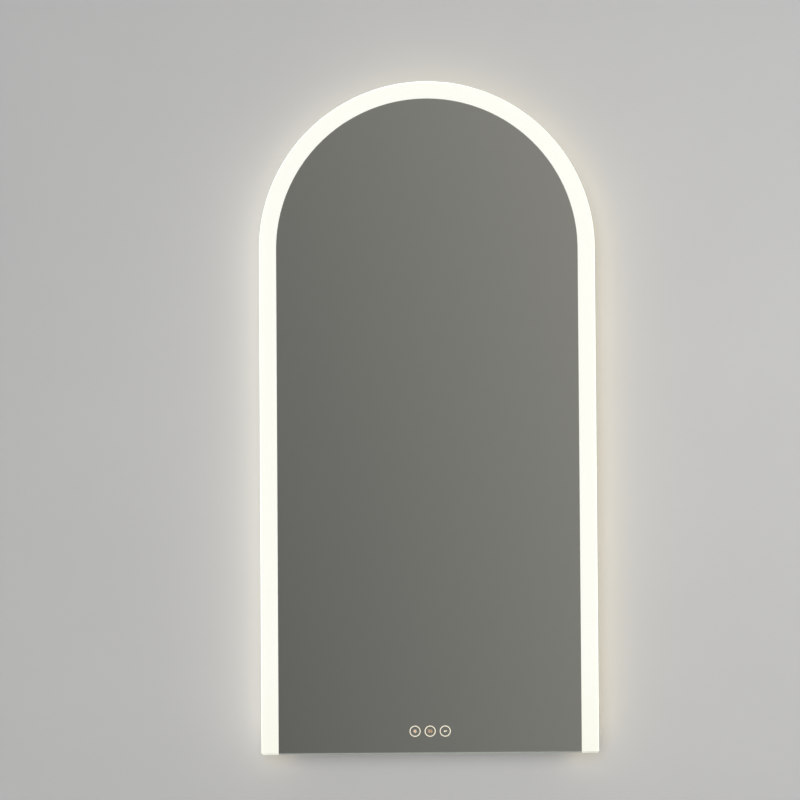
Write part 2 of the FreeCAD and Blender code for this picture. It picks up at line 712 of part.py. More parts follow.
def backPieces():
    panel = keep(newBody("back_panel"))
    outline = newSketch(panel, "outline", "XZ_Plane", z=panelRear)
    archOutline(outline, side, railZ)
    pad(panel, outline, "dims.panel_thickness")
    thick = "dims.panel_thickness"
    holes(panel, "screwHoles", panelFront, thick, rimScrews + driverScrews, tapHole)
    holes(panel, "rivetHoles", panelFront, thick, rivets, "dims.rivet_radius+dims.hole_gap")
    inlet = newSketch(panel, "inlet", "XZ_Plane", z=panelFront)
    circle(inlet, boxX, serviceZ, "dims.grommet_groove")
    pocket(panel, inlet, thick)
    for name, x, z in (("lowerVents", driverX, f"{foot}+dims.lower_vents"),
                       ("upperVents", "0", "dims.upper_vents")):
        sketch = newSketch(panel, name, "XZ_Plane", z=panelFront)
        rectangle(sketch, f"{x}-dims.vent_length/2", z,
                  f"{x}+dims.vent_length/2", f"{z}+dims.vent_width")
        vent = pocket(panel, sketch, thick)
        row(panel, vent, sketch, "V_Axis", "dims.vent_pitch", "5")
    tabs = newSketch(panel, "tabSlots", "XZ_Plane", z=panelFront)
    boxTabs(tabs, "dims.hole_gap")
    pocket(panel, tabs, thick)

    grommet = turned("grommet_form", [
        ("dims.inlet_radius", "-dims.flange_thickness"),
        ("dims.grommet_flange", "-dims.flange_thickness"),
        ("dims.grommet_flange", "0"),
        ("dims.grommet_groove-dims.hole_gap", "0"),
        ("dims.grommet_groove-dims.hole_gap", f"{thick}+dims.sleeve_length"),
        ("dims.inlet_radius", f"{thick}+dims.sleeve_length"),
    ])
    keep(copies("cable_grommet", grommet, [(boxX, panelRear, serviceZ)]))

    # Rubber spacers fill the gap to the wall.
    spacer = turned("spacer_form", [
        ("0", "0"),
        ("dims.spacer_radius", "0"),
        ("dims.spacer_radius", panelRear),
        ("0", panelRear),
    ])
    spots = [(f"{k}*dims.spacer_spread", "0", f"{foot}+dims.spacer_height") for k in (-1, 1)]
    keep(copies("wall_spacers", spacer, spots))


def hangingPieces():
    # Wall rail: a plate on the wall, a step out and a lip that stands up behind the mirror.
    steel = "dims.steel_thickness"
    shelf = "dims.wall_rail_height/2"
    rail = keep(newBody("wall_rail"))
    section = newSketch(rail, "section", "YZ_Plane")
    polygon(section, [
        ("0", f"-{shelf}"),
        ("0", shelf),
        ("-dims.lip_offset", shelf),
        ("-dims.lip_offset", lipTop),
        (f"-dims.lip_offset-{steel}", lipTop),
        (f"-dims.lip_offset-{steel}", f"{shelf}-{steel}"),
        (f"-{steel}", f"{shelf}-{steel}"),
        (f"-{steel}", f"-{shelf}"),
    ])
    bar = pad(rail, section, "dims.wall_rail_length", middled=True)
    rounded = bend(rail, bar, f"dims.bend_radius+{steel}", [
        ("0", shelf), (f"dims.lip_offset+{steel}", f"{shelf}-{steel}")])
    bend(rail, rounded, "dims.bend_radius", [
        (steel, f"{shelf}-{steel}"), ("dims.lip_offset", shelf)])
    slots = newSketch(rail, "wallSlots", "XZ_Plane", z=steel)
    for k in (-1, 1):
        slot(slots, f"{k}*dims.wall_slot_pitch/2", "0",
             "dims.wall_slot_length/2-dims.wall_hole_radius", "dims.wall_hole_radius")
    pocket(rail, slots, steel)

    # Hooks: a plate on the back panel, a step over the rail's lip and a tongue behind it.
    hook = newBody("hook_form")
    section = newSketch(hook, "section", "YZ_Plane")
    tongue = f"(dims.lip_offset/2-{steel}/2)"
    polygon(section, [
        (f"-{panelRear}", lipTop),
        (f"-{tongue}-{steel}", lipTop),
        (f"-{tongue}-{steel}", f"{lipTop}-dims.hook_engagement"),
        (f"-{tongue}", f"{lipTop}-dims.hook_engagement"),
        (f"-{tongue}", hookTop),
        (f"{steel}-{panelRear}", hookTop),
        (f"{steel}-{panelRear}", f"{hookTop}+dims.hook_plate"),
        (f"-{panelRear}", f"{hookTop}+dims.hook_plate"),
    ])
    strip = pad(hook, section, "dims.hook_width", middled=True)
    rounded = bend(hook, strip, f"dims.bend_radius+{steel}", [
        (panelRear, lipTop), (tongue, hookTop)])
    bend(hook, rounded, "dims.bend_radius", [
        (f"{tongue}+{steel}", lipTop), (f"{panelRear}-{steel}", hookTop)])
    spots = [(f"{k}*dims.rivet_spacing/2", braceZ) for k in (-1, 1)]
    holes(hook, "rivetHoles", panelRear, steel, spots, "dims.rivet_radius+dims.hole_gap")
    spots = [(f"{k}*dims.hook_spacing/2", "0", "0") for k in (-1, 1)]
    keep(copies("hanging_hooks", hook, spots))


def bracePiece():
    # The cross brace lies on the back panel, with joggled ends on the profile's rear flange
    # and turned edges that keep it straight under the weight of the glass.
    brace = keep(newBody("cross_brace"))
    wall = "dims.brace_wall"
    plan = newSketch(brace, "plan", "XY_Plane", z=hookTop)
    step = f"({half}-{side}-dims.rear_flange-dims.fit_gap)"
    end = f"({half}-{side}-dims.rear_flange+dims.brace_overlap)"
    lifted = f"({panelFront}+dims.profile_wall)"
    polygon(plan, [
        (f"-{step}", f"-{panelFront}"),
        (step, f"-{panelFront}"),
        (step, f"-{lifted}"),
        (end, f"-{lifted}"),
        (end, f"-{lifted}-{wall}"),
        (f"{step}-{wall}", f"-{lifted}-{wall}"),
        (f"{step}-{wall}", f"-{panelFront}-{wall}"),
        (f"{wall}-{step}", f"-{panelFront}-{wall}"),
        (f"{wall}-{step}", f"-{lifted}-{wall}"),
        (f"-{end}", f"-{lifted}-{wall}"),
        (f"-{end}", f"-{lifted}"),
        (f"-{step}", f"-{lifted}"),
    ])
    pad(brace, plan, "dims.hook_plate")
    edges = newSketch(brace, "edges", "YZ_Plane")
    for low, high in ((hookTop, f"{hookTop}+{wall}"),
                      (f"{hookTop}+dims.hook_plate-{wall}", f"{hookTop}+dims.hook_plate")):
        rectangle(edges, f"-{panelFront}-dims.brace_depth", low, f"-{panelFront}", high)
    pad(brace, edges, f"2*({step}-{wall})", middled=True)
    holes(brace, "rivetHoles", f"{panelFront}+{wall}", wall, rivets,
          "dims.rivet_radius+dims.hole_gap")


def driverPiece():
    driver = keep(newBody("led_driver"))
    outline = newSketch(driver, "outline", "XZ_Plane", z=panelFront)
    reach = "dims.driver_length/2"
    rectangle(outline, f"{driverX}-{reach}", f"{serviceZ}-dims.driver_width/2",
              f"{driverX}+{reach}", f"{serviceZ}+dims.driver_width/2")
    block = pad(driver, outline, "dims.driver_height")
    front = [f"Face{i + 1}" for i, face in enumerate(block.Shape.Faces)
             if face.BoundBox.YMax < 0.01 - number(f"{panelFront}+dims.driver_height")]
    bevel = driver.newObject("PartDesign::Chamfer", "bevel")
    bevel.Base = (block, front)
    bevel.setExpression("Size", "dims.driver_bevel")
    doc.recompute()
    ears = newSketch(driver, "ears", "XZ_Plane", z=panelFront)
    rectangle(ears, f"{driverX}-{reach}-dims.driver_ear", f"{serviceZ}-dims.driver_ear/2",
              f"{driverX}+{reach}+dims.driver_ear", f"{serviceZ}+dims.driver_ear/2")
    pad(driver, ears, "dims.ear_thickness")
    holes(driver, "earHoles", f"{panelFront}+dims.ear_thickness", "dims.ear_thickness",
          driverScrews, tapHole)


def terminalPieces():
    box = keep(newBody("terminal_box"))
    outline = newSketch(box, "outline", "XZ_Plane", z=panelFront)
    rectangle(outline, f"{boxX}-dims.box_length/2", f"{serviceZ}-dims.box_width/2",
              f"{boxX}+dims.box_length/2", f"{serviceZ}+dims.box_width/2")
    pad(box, outline, "dims.box_height")
    hollow = newSketch(box, "hollow", "XZ_Plane", z=f"{panelFront}+dims.box_height-dims.box_wall")
    rectangle(hollow, f"{boxX}-dims.box_length/2+dims.box_wall",
              f"{serviceZ}-dims.box_width/2+dims.box_wall",
              f"{boxX}+dims.box_length/2-dims.box_wall",
              f"{serviceZ}+dims.box_width/2-dims.box_wall")
    pocket(box, hollow, "dims.box_height-dims.box_wall")
    tabs = newSketch(box, "tabs", "XZ_Plane", z=f"{panelRear}-dims.tab_reach")
    boxTabs(tabs, "0")
    pad(box, tabs, "dims.panel_thickness+dims.tab_reach")
    left = newSketch(box, "mainsGap", "YZ_Plane", z=f"{boxX}-dims.box_length/2+dims.box_wall")
    leadGap(left, f"-{middle}", f"{serviceZ}+dims.lead_spread", wide="x")
    pocket(box, left, "dims.box_wall")
    top = newSketch(box, "heaterGap", "XY_Plane", z=f"{serviceZ}+dims.box_width/2")
    leadGap(top, f"{boxX}+dims.block_offset", f"-{middle}", wide="x")
    pocket(box, top, "dims.box_wall")

    block = keep(newBody("terminal_block"))
    blockX = f"({boxX}+dims.block_offset)"
    outline = newSketch(block, "outline", "XZ_Plane", z=panelFront)
    rectangle(outline, f"{blockX}-dims.block_width/2", f"{serviceZ}-dims.block_length/2",
              f"{blockX}+dims.block_width/2", f"{serviceZ}+dims.block_length/2")
    pad(block, outline, "dims.block_height")
    wells = newSketch(block, "wells", "XZ_Plane", z=f"{panelFront}+dims.block_height")
    well = "dims.block_length/12"
    for k in (-1, 0, 1):
        across = f"{serviceZ}+{k}*dims.block_length/3.5"
        rectangle(wells, f"{blockX}-dims.block_width/3", f"{across}-{well}",
                  f"{blockX}+dims.block_width/3", f"{across}+{well}")
    pocket(block, wells, "dims.block_height/3")


def touchPieces():
    # The housing lies on the film. Each well holds an opal tile at the film, and the lamp and
    # the foam contact of the board behind it.
    rear = f"({filmRear}-dims.housing_depth)"
    boardRear = f"({rear}-dims.board_thickness)"
    tileRear = f"({filmRear}-dims.tile_thickness)"

    def plate(label, depth, thickness):
        body = keep(newBody(label))
        outline = newSketch(body, "outline", "XZ_Plane", z=depth)
        rectangle(outline, "-dims.housing_length/2", f"{symbolZ}-dims.housing_width/2",
                  "dims.housing_length/2", f"{symbolZ}+dims.housing_width/2")
        pad(body, outline, thickness)
        return body

    def squares(body, name, depth, reach, shift="0"):
        sketch = newSketch(body, name, "XZ_Plane", z=depth)
        for x in symbols:
            rectangle(sketch, f"{x}+{shift}-{reach}", f"{symbolZ}-{reach}",
                      f"{x}+{shift}+{reach}", f"{symbolZ}+{reach}")
        return sketch

    housing = plate("touch_housing", rear, "dims.housing_depth")
    wells = squares(housing, "wells", filmRear, "(dims.tile_side/2+dims.fit_gap)")
    pocket(housing, wells, "dims.housing_depth")

    tiles = keep(newBody("opal_tiles"))
    pad(tiles, squares(tiles, "tiles", tileRear, "dims.tile_side/2"), "dims.tile_thickness")

    board = plate("touch_board", boardRear, "dims.board_thickness")
    socket = newSketch(board, "socket", "XZ_Plane", z=f"{middle}-dims.connector_length/2")
    rectangle(socket, "-dims.housing_length/2", f"{symbolZ}-dims.connector_length/2",
              "dims.connector_length-dims.housing_length/2",
              f"{symbolZ}+dims.connector_length/2")
    pad(board, socket, f"{boardRear}-{middle}+dims.connector_length/2")

    lamps = keep(newBody("touch_lamps"))
    pad(lamps, squares(lamps, "lamps", rear, "dims.lamp_side/2"), "dims.lamp_height")

    contacts = keep(newBody("touch_contacts"))
    blocks = squares(contacts, "blocks", rear, "dims.contact_side/2", "dims.contact_offset")
    pad(contacts, blocks, "dims.housing_depth-dims.tile_thickness")


def lead(label, spots, across):
    """A flat lead through (x, depth, height) spots, round at each, its width along across."""
    points = [Vector(number(x), -number(depth), number(z)) for x, depth, z in spots]
    bendRadius = number("dims.lead_bend")
    edges = []
    start = points[0]
    for before, corner, after in zip(points, points[1:], points[2:]):
        back = (before - corner).normalize()
        ahead = (after - corner).normalize()
        entry = corner + back * bendRadius
        leave = corner + ahead * bendRadius
        centre = corner + (back + ahead) * bendRadius
        crown = centre + (corner - centre).normalize() * bendRadius
        edges.append(Part.LineSegment(start, entry).toShape())
        edges.append(Part.Arc(entry, crown, leave).toShape())
        start = leave
    edges.append(Part.LineSegment(start, points[-1]).toShape())
    width = across * (number("dims.lead_width") / 2)
    heading = (points[1] - points[0]).normalize()
    rise = across.cross(heading) * (number("dims.lead_thickness") / 2)
    corners = [points[0] + width + rise, points[0] - width + rise,
               points[0] - width - rise, points[0] + width - rise]
    section = Part.makePolygon(corners + corners[:1])
    feature = doc.addObject("Part::Feature", label)
    feature.Label = label
    feature.Shape = Part.Wire(edges).makePipeShell([section], True, False)
    return keep(feature)


def wiring():
    driverEnd = f"({driverX}-dims.driver_length/2)"
    upper = f"({serviceZ}+dims.lead_spread)"
    lower = f"({serviceZ}-dims.lead_spread)"
    boardLeft = "-dims.housing_length/2"
    blockX = f"({boxX}+dims.block_offset)"
    padRear = f"{filmRear}-dims.pad_thickness"
    padFoot = f"({archZ}+dims.pad_top-dims.pad_height)"
    heaterZ = f"({padFoot}+2*dims.pad_corner)"
    stripRun = f"({driverEnd}-dims.strip_lead_run)"
    touchRun = f"({driverEnd}-dims.touch_lead_run)"
    stripZ = f"({foot}+dims.strip_lead_height)"
    flat = Vector(0, 1, 0)
    lead("mains_lead", [
        (f"{boxX}-dims.box_length/2+dims.box_wall", middle, upper),
        (f"{driverX}+dims.driver_length/2", middle, upper),
    ], flat)
    lead("strip_lead", [
        (driverEnd, middle, upper),
        (stripRun, middle, upper),
        (stripRun, middle, stripZ),
        (f"{side}-{half}", middle, stripZ),
    ], flat)
    lead("touch_lead", [
        (driverEnd, middle, lower),
        (touchRun, middle, lower),
        (touchRun, middle, symbolZ),
        (boardLeft, middle, symbolZ),
    ], flat)
    lead("demister_lead", [
        (blockX, middle, f"{serviceZ}+dims.box_width/2-dims.box_wall"),
        (blockX, middle, heaterZ),
        (blockX, padRear, heaterZ),
    ], Vector(1, 0, 0))

    # Each clip is a post on the back panel with a window for its lead. The demister lead lies
    # the other way round, so its clips have a wider window.
    def clipForm(name, wide):
        clip = newBody(name)
        outline = newSketch(clip, "outline", "XZ_Plane")
        rectangle(outline, "-dims.clip_width/2", "-dims.clip_length/2",
                  "dims.clip_width/2", "dims.clip_length/2")
        pad(clip, outline, "dims.chassis_depth/2+dims.clip_width/2")
        window = newSketch(clip, "window", "XY_Plane", z="dims.clip_length/2")
        leadGap(window, "0", "-dims.chassis_depth/2", wide)
        pocket(clip, window, "dims.clip_length")
        return clip

    upright = clipForm("clip_form", "y")
    boxTop = f"({serviceZ}+dims.box_width/2)"
    keep(copies("lead_clips", upright, [
        (stripRun, panelFront, f"({upper}+{stripZ})/2"),
        (touchRun, panelFront, f"({lower}+{symbolZ})/2"),
    ]))
    keep(copies("heater_clips", clipForm("heater_clip_form", "x"), [
        (blockX, panelFront, f"{boxTop}+({heaterZ}-{boxTop})*{k}/4") for k in (1, 3)
    ]))


glassPieces()
chassisPieces()
bottomPieces()
fasteners()
tapePieces()
backPieces()
hangingPieces()
bracePiece()
driverPiece()
terminalPieces()
touchPieces()
wiring()
doc.recompute()

for item in doc.Objects:
    if "Invalid" in item.State or "Error" in item.State:
        raise RuntimeError(item.Label + " did not build")
for part in parts:
    if part.Shape.isNull() or not part.Shape.isValid():
        raise RuntimeError(part.Label + " has no valid shape")

os.makedirs("parts", exist_ok=True)
for part in parts:
    part.Shape.exportStep("parts/" + part.Label + ".step")
    print(part.Label, len(part.Shape.Solids), round(part.Shape.Volume, 1))
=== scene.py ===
import math
import bmesh
import bpy
from mathutils import Matrix, Vector


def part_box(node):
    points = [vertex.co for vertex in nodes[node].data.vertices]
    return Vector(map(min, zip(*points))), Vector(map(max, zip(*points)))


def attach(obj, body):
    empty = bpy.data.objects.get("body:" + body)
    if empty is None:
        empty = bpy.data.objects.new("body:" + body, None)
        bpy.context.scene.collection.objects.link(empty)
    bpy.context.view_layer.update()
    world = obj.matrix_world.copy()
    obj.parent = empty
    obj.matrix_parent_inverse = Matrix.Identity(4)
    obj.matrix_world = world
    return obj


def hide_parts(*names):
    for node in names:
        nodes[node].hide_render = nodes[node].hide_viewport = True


# Arched bathroom mirror with a lit border. Metres, +Z up, the wall is the plane y = 0 and the
# mirror faces -Y.
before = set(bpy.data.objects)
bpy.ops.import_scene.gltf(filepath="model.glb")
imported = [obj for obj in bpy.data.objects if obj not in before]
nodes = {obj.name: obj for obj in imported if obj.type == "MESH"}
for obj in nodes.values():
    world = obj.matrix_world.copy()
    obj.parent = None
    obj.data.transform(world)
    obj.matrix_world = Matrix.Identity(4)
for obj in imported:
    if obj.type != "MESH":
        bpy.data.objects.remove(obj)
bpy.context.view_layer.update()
print("frame loaded, nodes:", len(nodes))

# Places shared by the pieces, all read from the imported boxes.
glassLow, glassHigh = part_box("mirror_glass")
filmLow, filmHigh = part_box("silvered_film")
halfWidth = glassHigh.x
archZ = glassHigh.z - halfWidth  # middle of the arch
footZ = glassLow.z

# The light strip and its chips, which strip and cover both show.
lightStrip = {
    "inset": 0.0272,  # its face to the edge of the glass
    "depth": 0.023,  # middle of its width to the wall
    "pitch": 0.025,  # one chip to the next
    "firstChip": 0.0239,  # above the foot of the glass
    "padShare": 0.09,  # part of each pitch that the copper pads take
    "padEdge": 0.0022,  # pads start this far off the middle of the width
}


def linear(hexColour):
    values = [int(hexColour[i:i + 2], 16) / 255 for i in (1, 3, 5)]
    return [v / 12.92 if v <= 0.04045 else ((v + 0.055) / 1.055) ** 2.4 for v in values] + [1.0]


# A node with its settings (attributes or input values) and its links.
def addNode(tree, kind, settings={}, links={}):
    node = tree.nodes.new("ShaderNode" + kind)
    for name, value in settings.items():
        if isinstance(name, str) and hasattr(node, name):
            setattr(node, name, value)
        else:
            node.inputs[name].default_value = value
    for name, source in links.items():
        tree.links.new(source, node.inputs[name])
    return node


def newMaterial(name):
    material = bpy.data.materials.new(name)
    material.use_nodes = True
    material.node_tree.nodes.clear()
    return material, material.node_tree


# Object coordinates in millimetres, stretched per axis where a pattern runs one way.
def millimetres(tree, stretch=(1, 1, 1)):
    spot = addNode(tree, "TexCoord")
    scale = [1000 * s for s in stretch]
    return addNode(tree, "Mapping", {"Scale": scale}, {"Vector": spot.outputs["Object"]}).outputs[0]


# A coordinate that follows the bent profile: distance from the middle line or from the middle
# of the arch, depth, and the way along it from the foot up, over the springing. In metres.
def wayRound(tree):
    spot = addNode(tree, "TexCoord")
    parts = addNode(tree, "SeparateXYZ", {}, {0: spot.outputs["Object"]})
    across = addNode(tree, "Math", {"operation": "ABSOLUTE"}, {0: parts.outputs["X"]})
    above = addNode(tree, "Math", {"operation": "SUBTRACT", 1: archZ}, {0: parts.outputs["Z"]})
    rise = addNode(tree, "Math", {"operation": "MAXIMUM", 1: 0.0}, {0: above.outputs[0]})
    flat = addNode(tree, "CombineXYZ", {}, {"X": across.outputs[0], "Z": rise.outputs[0]})
    reach = addNode(tree, "VectorMath", {"operation": "LENGTH"}, {0: flat.outputs[0]})
    angle = addNode(tree, "Math", {"operation": "ARCTAN2"},
                    {0: rise.outputs[0], 1: across.outputs[0]})
    bent = addNode(tree, "Math", {"operation": "MULTIPLY", 1: halfWidth - lightStrip["inset"]},
                   {0: angle.outputs[0]})
    straight = addNode(tree, "Math", {"operation": "MINIMUM", 1: archZ}, {0: parts.outputs["Z"]})
    along = addNode(tree, "Math", {"operation": "ADD"},
                    {0: bent.outputs[0], 1: straight.outputs[0]})
    way = addNode(tree, "CombineXYZ", {}, {"X": reach.outputs["Value"], "Y": parts.outputs["Y"],
                                           "Z": along.outputs[0]})
    return way.outputs[0], along.outputs[0]


# How far a face turns away from the mirror's front or back: 0 on the flats, 1 on the edges.
def edgeMask(tree, start=0.3, end=0.8):
    spot = addNode(tree, "TexCoord")
    parts = addNode(tree, "SeparateXYZ", {}, {0: spot.outputs["Normal"]})
    flat = addNode(tree, "Math", {"operation": "ABSOLUTE"}, {0: parts.outputs["Y"]})
    mask = addNode(tree, "MapRange", {"From Min": end, "From Max": start}, {0: flat.outputs[0]})
    return mask.outputs[0]


# 1 on faces that look at the room, 0 on those that look at the wall or sideways.
def frontMask(tree):
    spot = addNode(tree, "TexCoord")
    parts = addNode(tree, "SeparateXYZ", {}, {0: spot.outputs["Normal"]})
    mask = addNode(tree, "Math", {"operation": "LESS_THAN", 1: -0.5}, {0: parts.outputs["Y"]})
    return mask.outputs[0]


# Float glass, cut by wheel, with a ground and polished edge. The flats are clear and hold a
# faint green; the edge carries light along the sheet, so it looks deeper green and softer.
def floatGlass():
    material, tree = newMaterial("floatGlassPolishedEdge")
    edge = edgeMask(tree)
    tint = addNode(tree, "MixRGB", {"Color1": linear("#FBFDFC"), "Color2": linear("#CFE6DA")},
                   {"Fac": edge})
    # marks of the polishing belt along the edge, every 0.4 mm or so
    grain = addNode(tree, "TexNoise", {"Scale": 2.5, "Detail": 2.0},
                    {"Vector": millimetres(tree, (0.05, 1, 0.05))})
    rough = addNode(tree, "MapRange", {"To Min": 0.05, "To Max": 0.16}, {0: grain.outputs[0]})
    rougher = addNode(tree, "Math", {"operation": "MULTIPLY"}, {0: rough.outputs[0], 1: edge})
    # painted glow: edge and arris are given emission for the border's light that leaves through
    # them, but not at the foot, where no strip runs
    spot = addNode(tree, "TexCoord")
    parts = addNode(tree, "SeparateXYZ", {}, {0: spot.outputs["Object"]})
    above = addNode(tree, "MapRange", {"From Min": footZ + 0.001, "From Max": footZ + 0.003,
                                       "To Min": 0.2}, {0: parts.outputs["Z"]})
    leak = addNode(tree, "Math", {"operation": "MULTIPLY"},
                   {0: edgeMask(tree, 0.72, 0.95), 1: above.outputs[0]})
    # colours of the painted glow: pale on the arris, deeper green on the edge
    depth = addNode(tree, "MixRGB", {"Color1": linear("#CED7CB"), "Color2": linear("#7FA68C")},
                    {"Fac": edgeMask(tree, 0.2, 0.5)})
    glow = addNode(tree, "MixRGB", {"Color1": linear("#000000")},
                   {"Fac": leak.outputs[0], "Color2": depth.outputs[0]})
    shader = addNode(tree, "BsdfPrincipled", {
        "Transmission Weight": 1.0, "IOR": 1.52, "Emission Strength": 0.9,
    }, {"Base Color": tint.outputs[0], "Roughness": rougher.outputs[0],
        "Emission Color": glow.outputs[0]})
    addNode(tree, "OutputMaterial", {}, {"Surface": shader.outputs[0]})
    return material


# Silver on the back of the glass under grey backing paint. It reflects cleanly from the front;
# from behind it is dull paint with the mottle of a curtain coater.
def silveredGlassBack():
    material, tree = newMaterial("silveringAndBackingPaint")
    front = frontMask(tree)
    mottle = addNode(tree, "TexNoise", {"Scale": 0.12, "Detail": 4.0},
                     {"Vector": millimetres(tree)})
    paint = addNode(tree, "MixRGB", {"Color1": linear("#6F7B78"), "Color2": linear("#7E8986")},
                    {"Fac": mottle.outputs[0]})
    colour = addNode(tree, "MixRGB", {"Color2": linear("#F3F5F1")},
                     {"Fac": front, "Color1": paint.outputs[0]})
    dull = addNode(tree, "MapRange", {"To Min": 0.55, "To Max": 0.0}, {0: front})
    shader = addNode(tree, "BsdfPrincipled", {}, {
        "Base Color": colour.outputs[0], "Metallic": front, "Roughness": dull.outputs[0]})
    addNode(tree, "OutputMaterial", {}, {"Surface": shader.outputs[0]})
    return material


# Sandblasted glass lit from behind. The 0.1 mm grit spreads the light evenly, with a faint
# warmth where the strip ends at the foot.
def sandblastedGlass():
    material, tree = newMaterial("sandblastedGlassLit")
    along = wayRound(tree)[1]
    foot = addNode(tree, "MapRange", {"From Min": footZ + 0.15, "From Max": footZ}, {0: along})
    lit = addNode(tree, "MixRGB", {"Color1": linear("#FCFAF2"), "Color2": linear("#F9F7EB")},
                  {"Fac": foot.outputs[0]})
    # grit drawn at 0.6 mm, as coarse as it needs to show
    grit = addNode(tree, "TexNoise", {"Scale": 1.6, "Detail": 3.0}, {"Vector": millimetres(tree)})
    shade = addNode(tree, "MapRange", {"To Min": 0.985, "To Max": 1.0}, {0: grit.outputs[0]})
    grained = addNode(tree, "VectorMath", {"operation": "SCALE"},
                      {0: lit.outputs[0], "Scale": shade.outputs[0]})
    bump = addNode(tree, "Bump", {"Strength": 0.3, "Distance": 0.00005},
                   {"Height": grit.outputs[0]})
    # the grit is on the rear face, so the front is the brighter of the two
    through = addNode(tree, "MapRange", {"To Min": 0.5, "To Max": 0.9}, {0: frontMask(tree)})
    glow = addNode(tree, "VectorMath", {"operation": "SCALE"},
                   {0: grained.outputs[0], "Scale": through.outputs[0]})
    shader = addNode(tree, "BsdfPrincipled", {
        "Base Color": linear("#3A3A38"), "Roughness": 0.6, "Emission Strength": 1.24,
    }, {"Emission Color": glow.outputs[0], "Normal": bump.outputs[0]})
    addNode(tree, "OutputMaterial", {}, {"Surface": shader.outputs[0]})
    return material


# Opal polycarbonate, extruded. It glows softly, a little brighter over each light chip.
def opalPolycarbonate():
    material, tree = newMaterial("opalPolycarbonateLit")
    way, along = wayRound(tree)
    firstChip = footZ + lightStrip["firstChip"]
    phase = addNode(tree, "Math", {"operation": "SUBTRACT", 1: firstChip}, {0: along})
    turn = addNode(tree, "Math", {"operation": "MULTIPLY", 1: 2 * math.pi / lightStrip["pitch"]},
                   {0: phase.outputs[0]})
    wave = addNode(tree, "Math", {"operation": "COSINE"}, {0: turn.outputs[0]})
    spot = addNode(tree, "MapRange", {"From Min": -1.0, "From Max": 1.0}, {0: wave.outputs[0]})
    hot = addNode(tree, "MixRGB", {"Color1": linear("#B9AE92"), "Color2": linear("#FFFBEE")},
                  {"Fac": spot.outputs[0]})
    # the chips look straight at the outer face; the legs take only a fifth of their light
    share = addNode(tree, "MapRange", {"To Min": 0.2, "To Max": 1.0}, {0: edgeMask(tree)})
    glow = addNode(tree, "VectorMath", {"operation": "SCALE"},
                   {0: hot.outputs[0], "Scale": share.outputs[0]})
    lines = addNode(tree, "TexNoise", {"Scale": 900.0, "Detail": 2.0}, {
        "Vector": addNode(tree, "Mapping", {"Scale": (1, 1, 0.01)}, {"Vector": way}).outputs[0]})
    rough = addNode(tree, "MapRange", {"To Min": 0.28, "To Max": 0.42}, {0: lines.outputs[0]})
    shader = addNode(tree, "BsdfPrincipled", {
        "Base Color": linear("#D9D6CC"), "IOR": 1.585, "Emission Strength": 0.55,
    }, {"Emission Color": glow.outputs[0], "Roughness": rough.outputs[0]})
    addNode(tree, "OutputMaterial", {}, {"Surface": shader.outputs[0]})
    return material


# Opal acrylic, cut into tiles behind the touch windows and lit warm white. Each tile is printed
# with a tint out to reach from its middle, so that two of the symbols show peach.
def opalAcrylic(centres):
    material, tree = newMaterial("opalAcrylicLit")
    spot = addNode(tree, "TexCoord")
    colour = linear("#FFF3DA")
    glow = None
    for x, z, tint, reach in centres:
        off = addNode(tree, "VectorMath", {"operation": "MULTIPLY_ADD", 1: (1, 0, 1),
                                           2: (-x, 0, -z)}, {0: spot.outputs["Object"]})
        away = addNode(tree, "VectorMath", {"operation": "LENGTH"}, {0: off.outputs[0]})
        near = addNode(tree, "MapRange", {"From Min": reach * 1.25, "From Max": reach},
                       {0: away.outputs["Value"]})
        mix = addNode(tree, "MixRGB", {"Color1": colour, "Color2": linear(tint)},
                      {"Fac": near.outputs[0]})
        if glow:
            tree.links.new(glow.outputs[0], mix.inputs["Color1"])
        glow = mix
    haze = addNode(tree, "TexNoise", {"Scale": 0.8, "Detail": 2.0}, {"Vector": millimetres(tree)})
    rough = addNode(tree, "MapRange", {"To Min": 0.3, "To Max": 0.4}, {0: haze.outputs[0]})
    shader = addNode(tree, "BsdfPrincipled", {
        "Base Color": linear("#F4F2EC"), "IOR": 1.49, "Emission Strength": 1.0,
    }, {"Emission Color": glow.outputs[0], "Roughness": rough.outputs[0]})
    addNode(tree, "OutputMaterial", {}, {"Surface": shader.outputs[0]})
    return material


# Aluminium extrusion, etched and satin anodised, then stretch bent. Die lines run along it,
# and the anodic film takes the sharpness out of what it reflects.
def anodisedAluminium(name, bent):
    material, tree = newMaterial(name)
    if bent:
        way = wayRound(tree)[0]
        coordinate = addNode(tree, "Mapping", {"Scale": (1000, 1000, 12)},
                             {"Vector": way}).outputs[0]
    else:
        coordinate = millimetres(tree, (0.012, 1, 1))
    # die lines about 0.5 mm apart
    lines = addNode(tree, "TexNoise", {"Scale": 1.4, "Detail": 5.0, "Roughness": 0.65},
                    {"Vector": coordinate})
    cloud = addNode(tree, "TexNoise", {"Scale": 0.03, "Detail": 3.0},
                    {"Vector": millimetres(tree)})
    colour = addNode(tree, "MixRGB", {"Color1": linear("#B4B6B8"), "Color2": linear("#CDCFD0")},
                     {"Fac": lines.outputs[0]})
    tone = addNode(tree, "MixRGB", {"blend_type": "MULTIPLY", "Color2": linear("#EFEFEB")},
                   {"Fac": cloud.outputs[0], "Color1": colour.outputs[0]})
    rough = addNode(tree, "MapRange", {"To Min": 0.3, "To Max": 0.46}, {0: lines.outputs[0]})
    bump = addNode(tree, "Bump", {"Strength": 0.35, "Distance": 0.00003},
                   {"Height": lines.outputs[0]})
    shader = addNode(tree, "BsdfPrincipled", {"Metallic": 1.0}, {
        "Base Color": tone.outputs[0], "Roughness": rough.outputs[0], "Normal": bump.outputs[0]})
    addNode(tree, "OutputMaterial", {}, {"Surface": shader.outputs[0]})
    return material


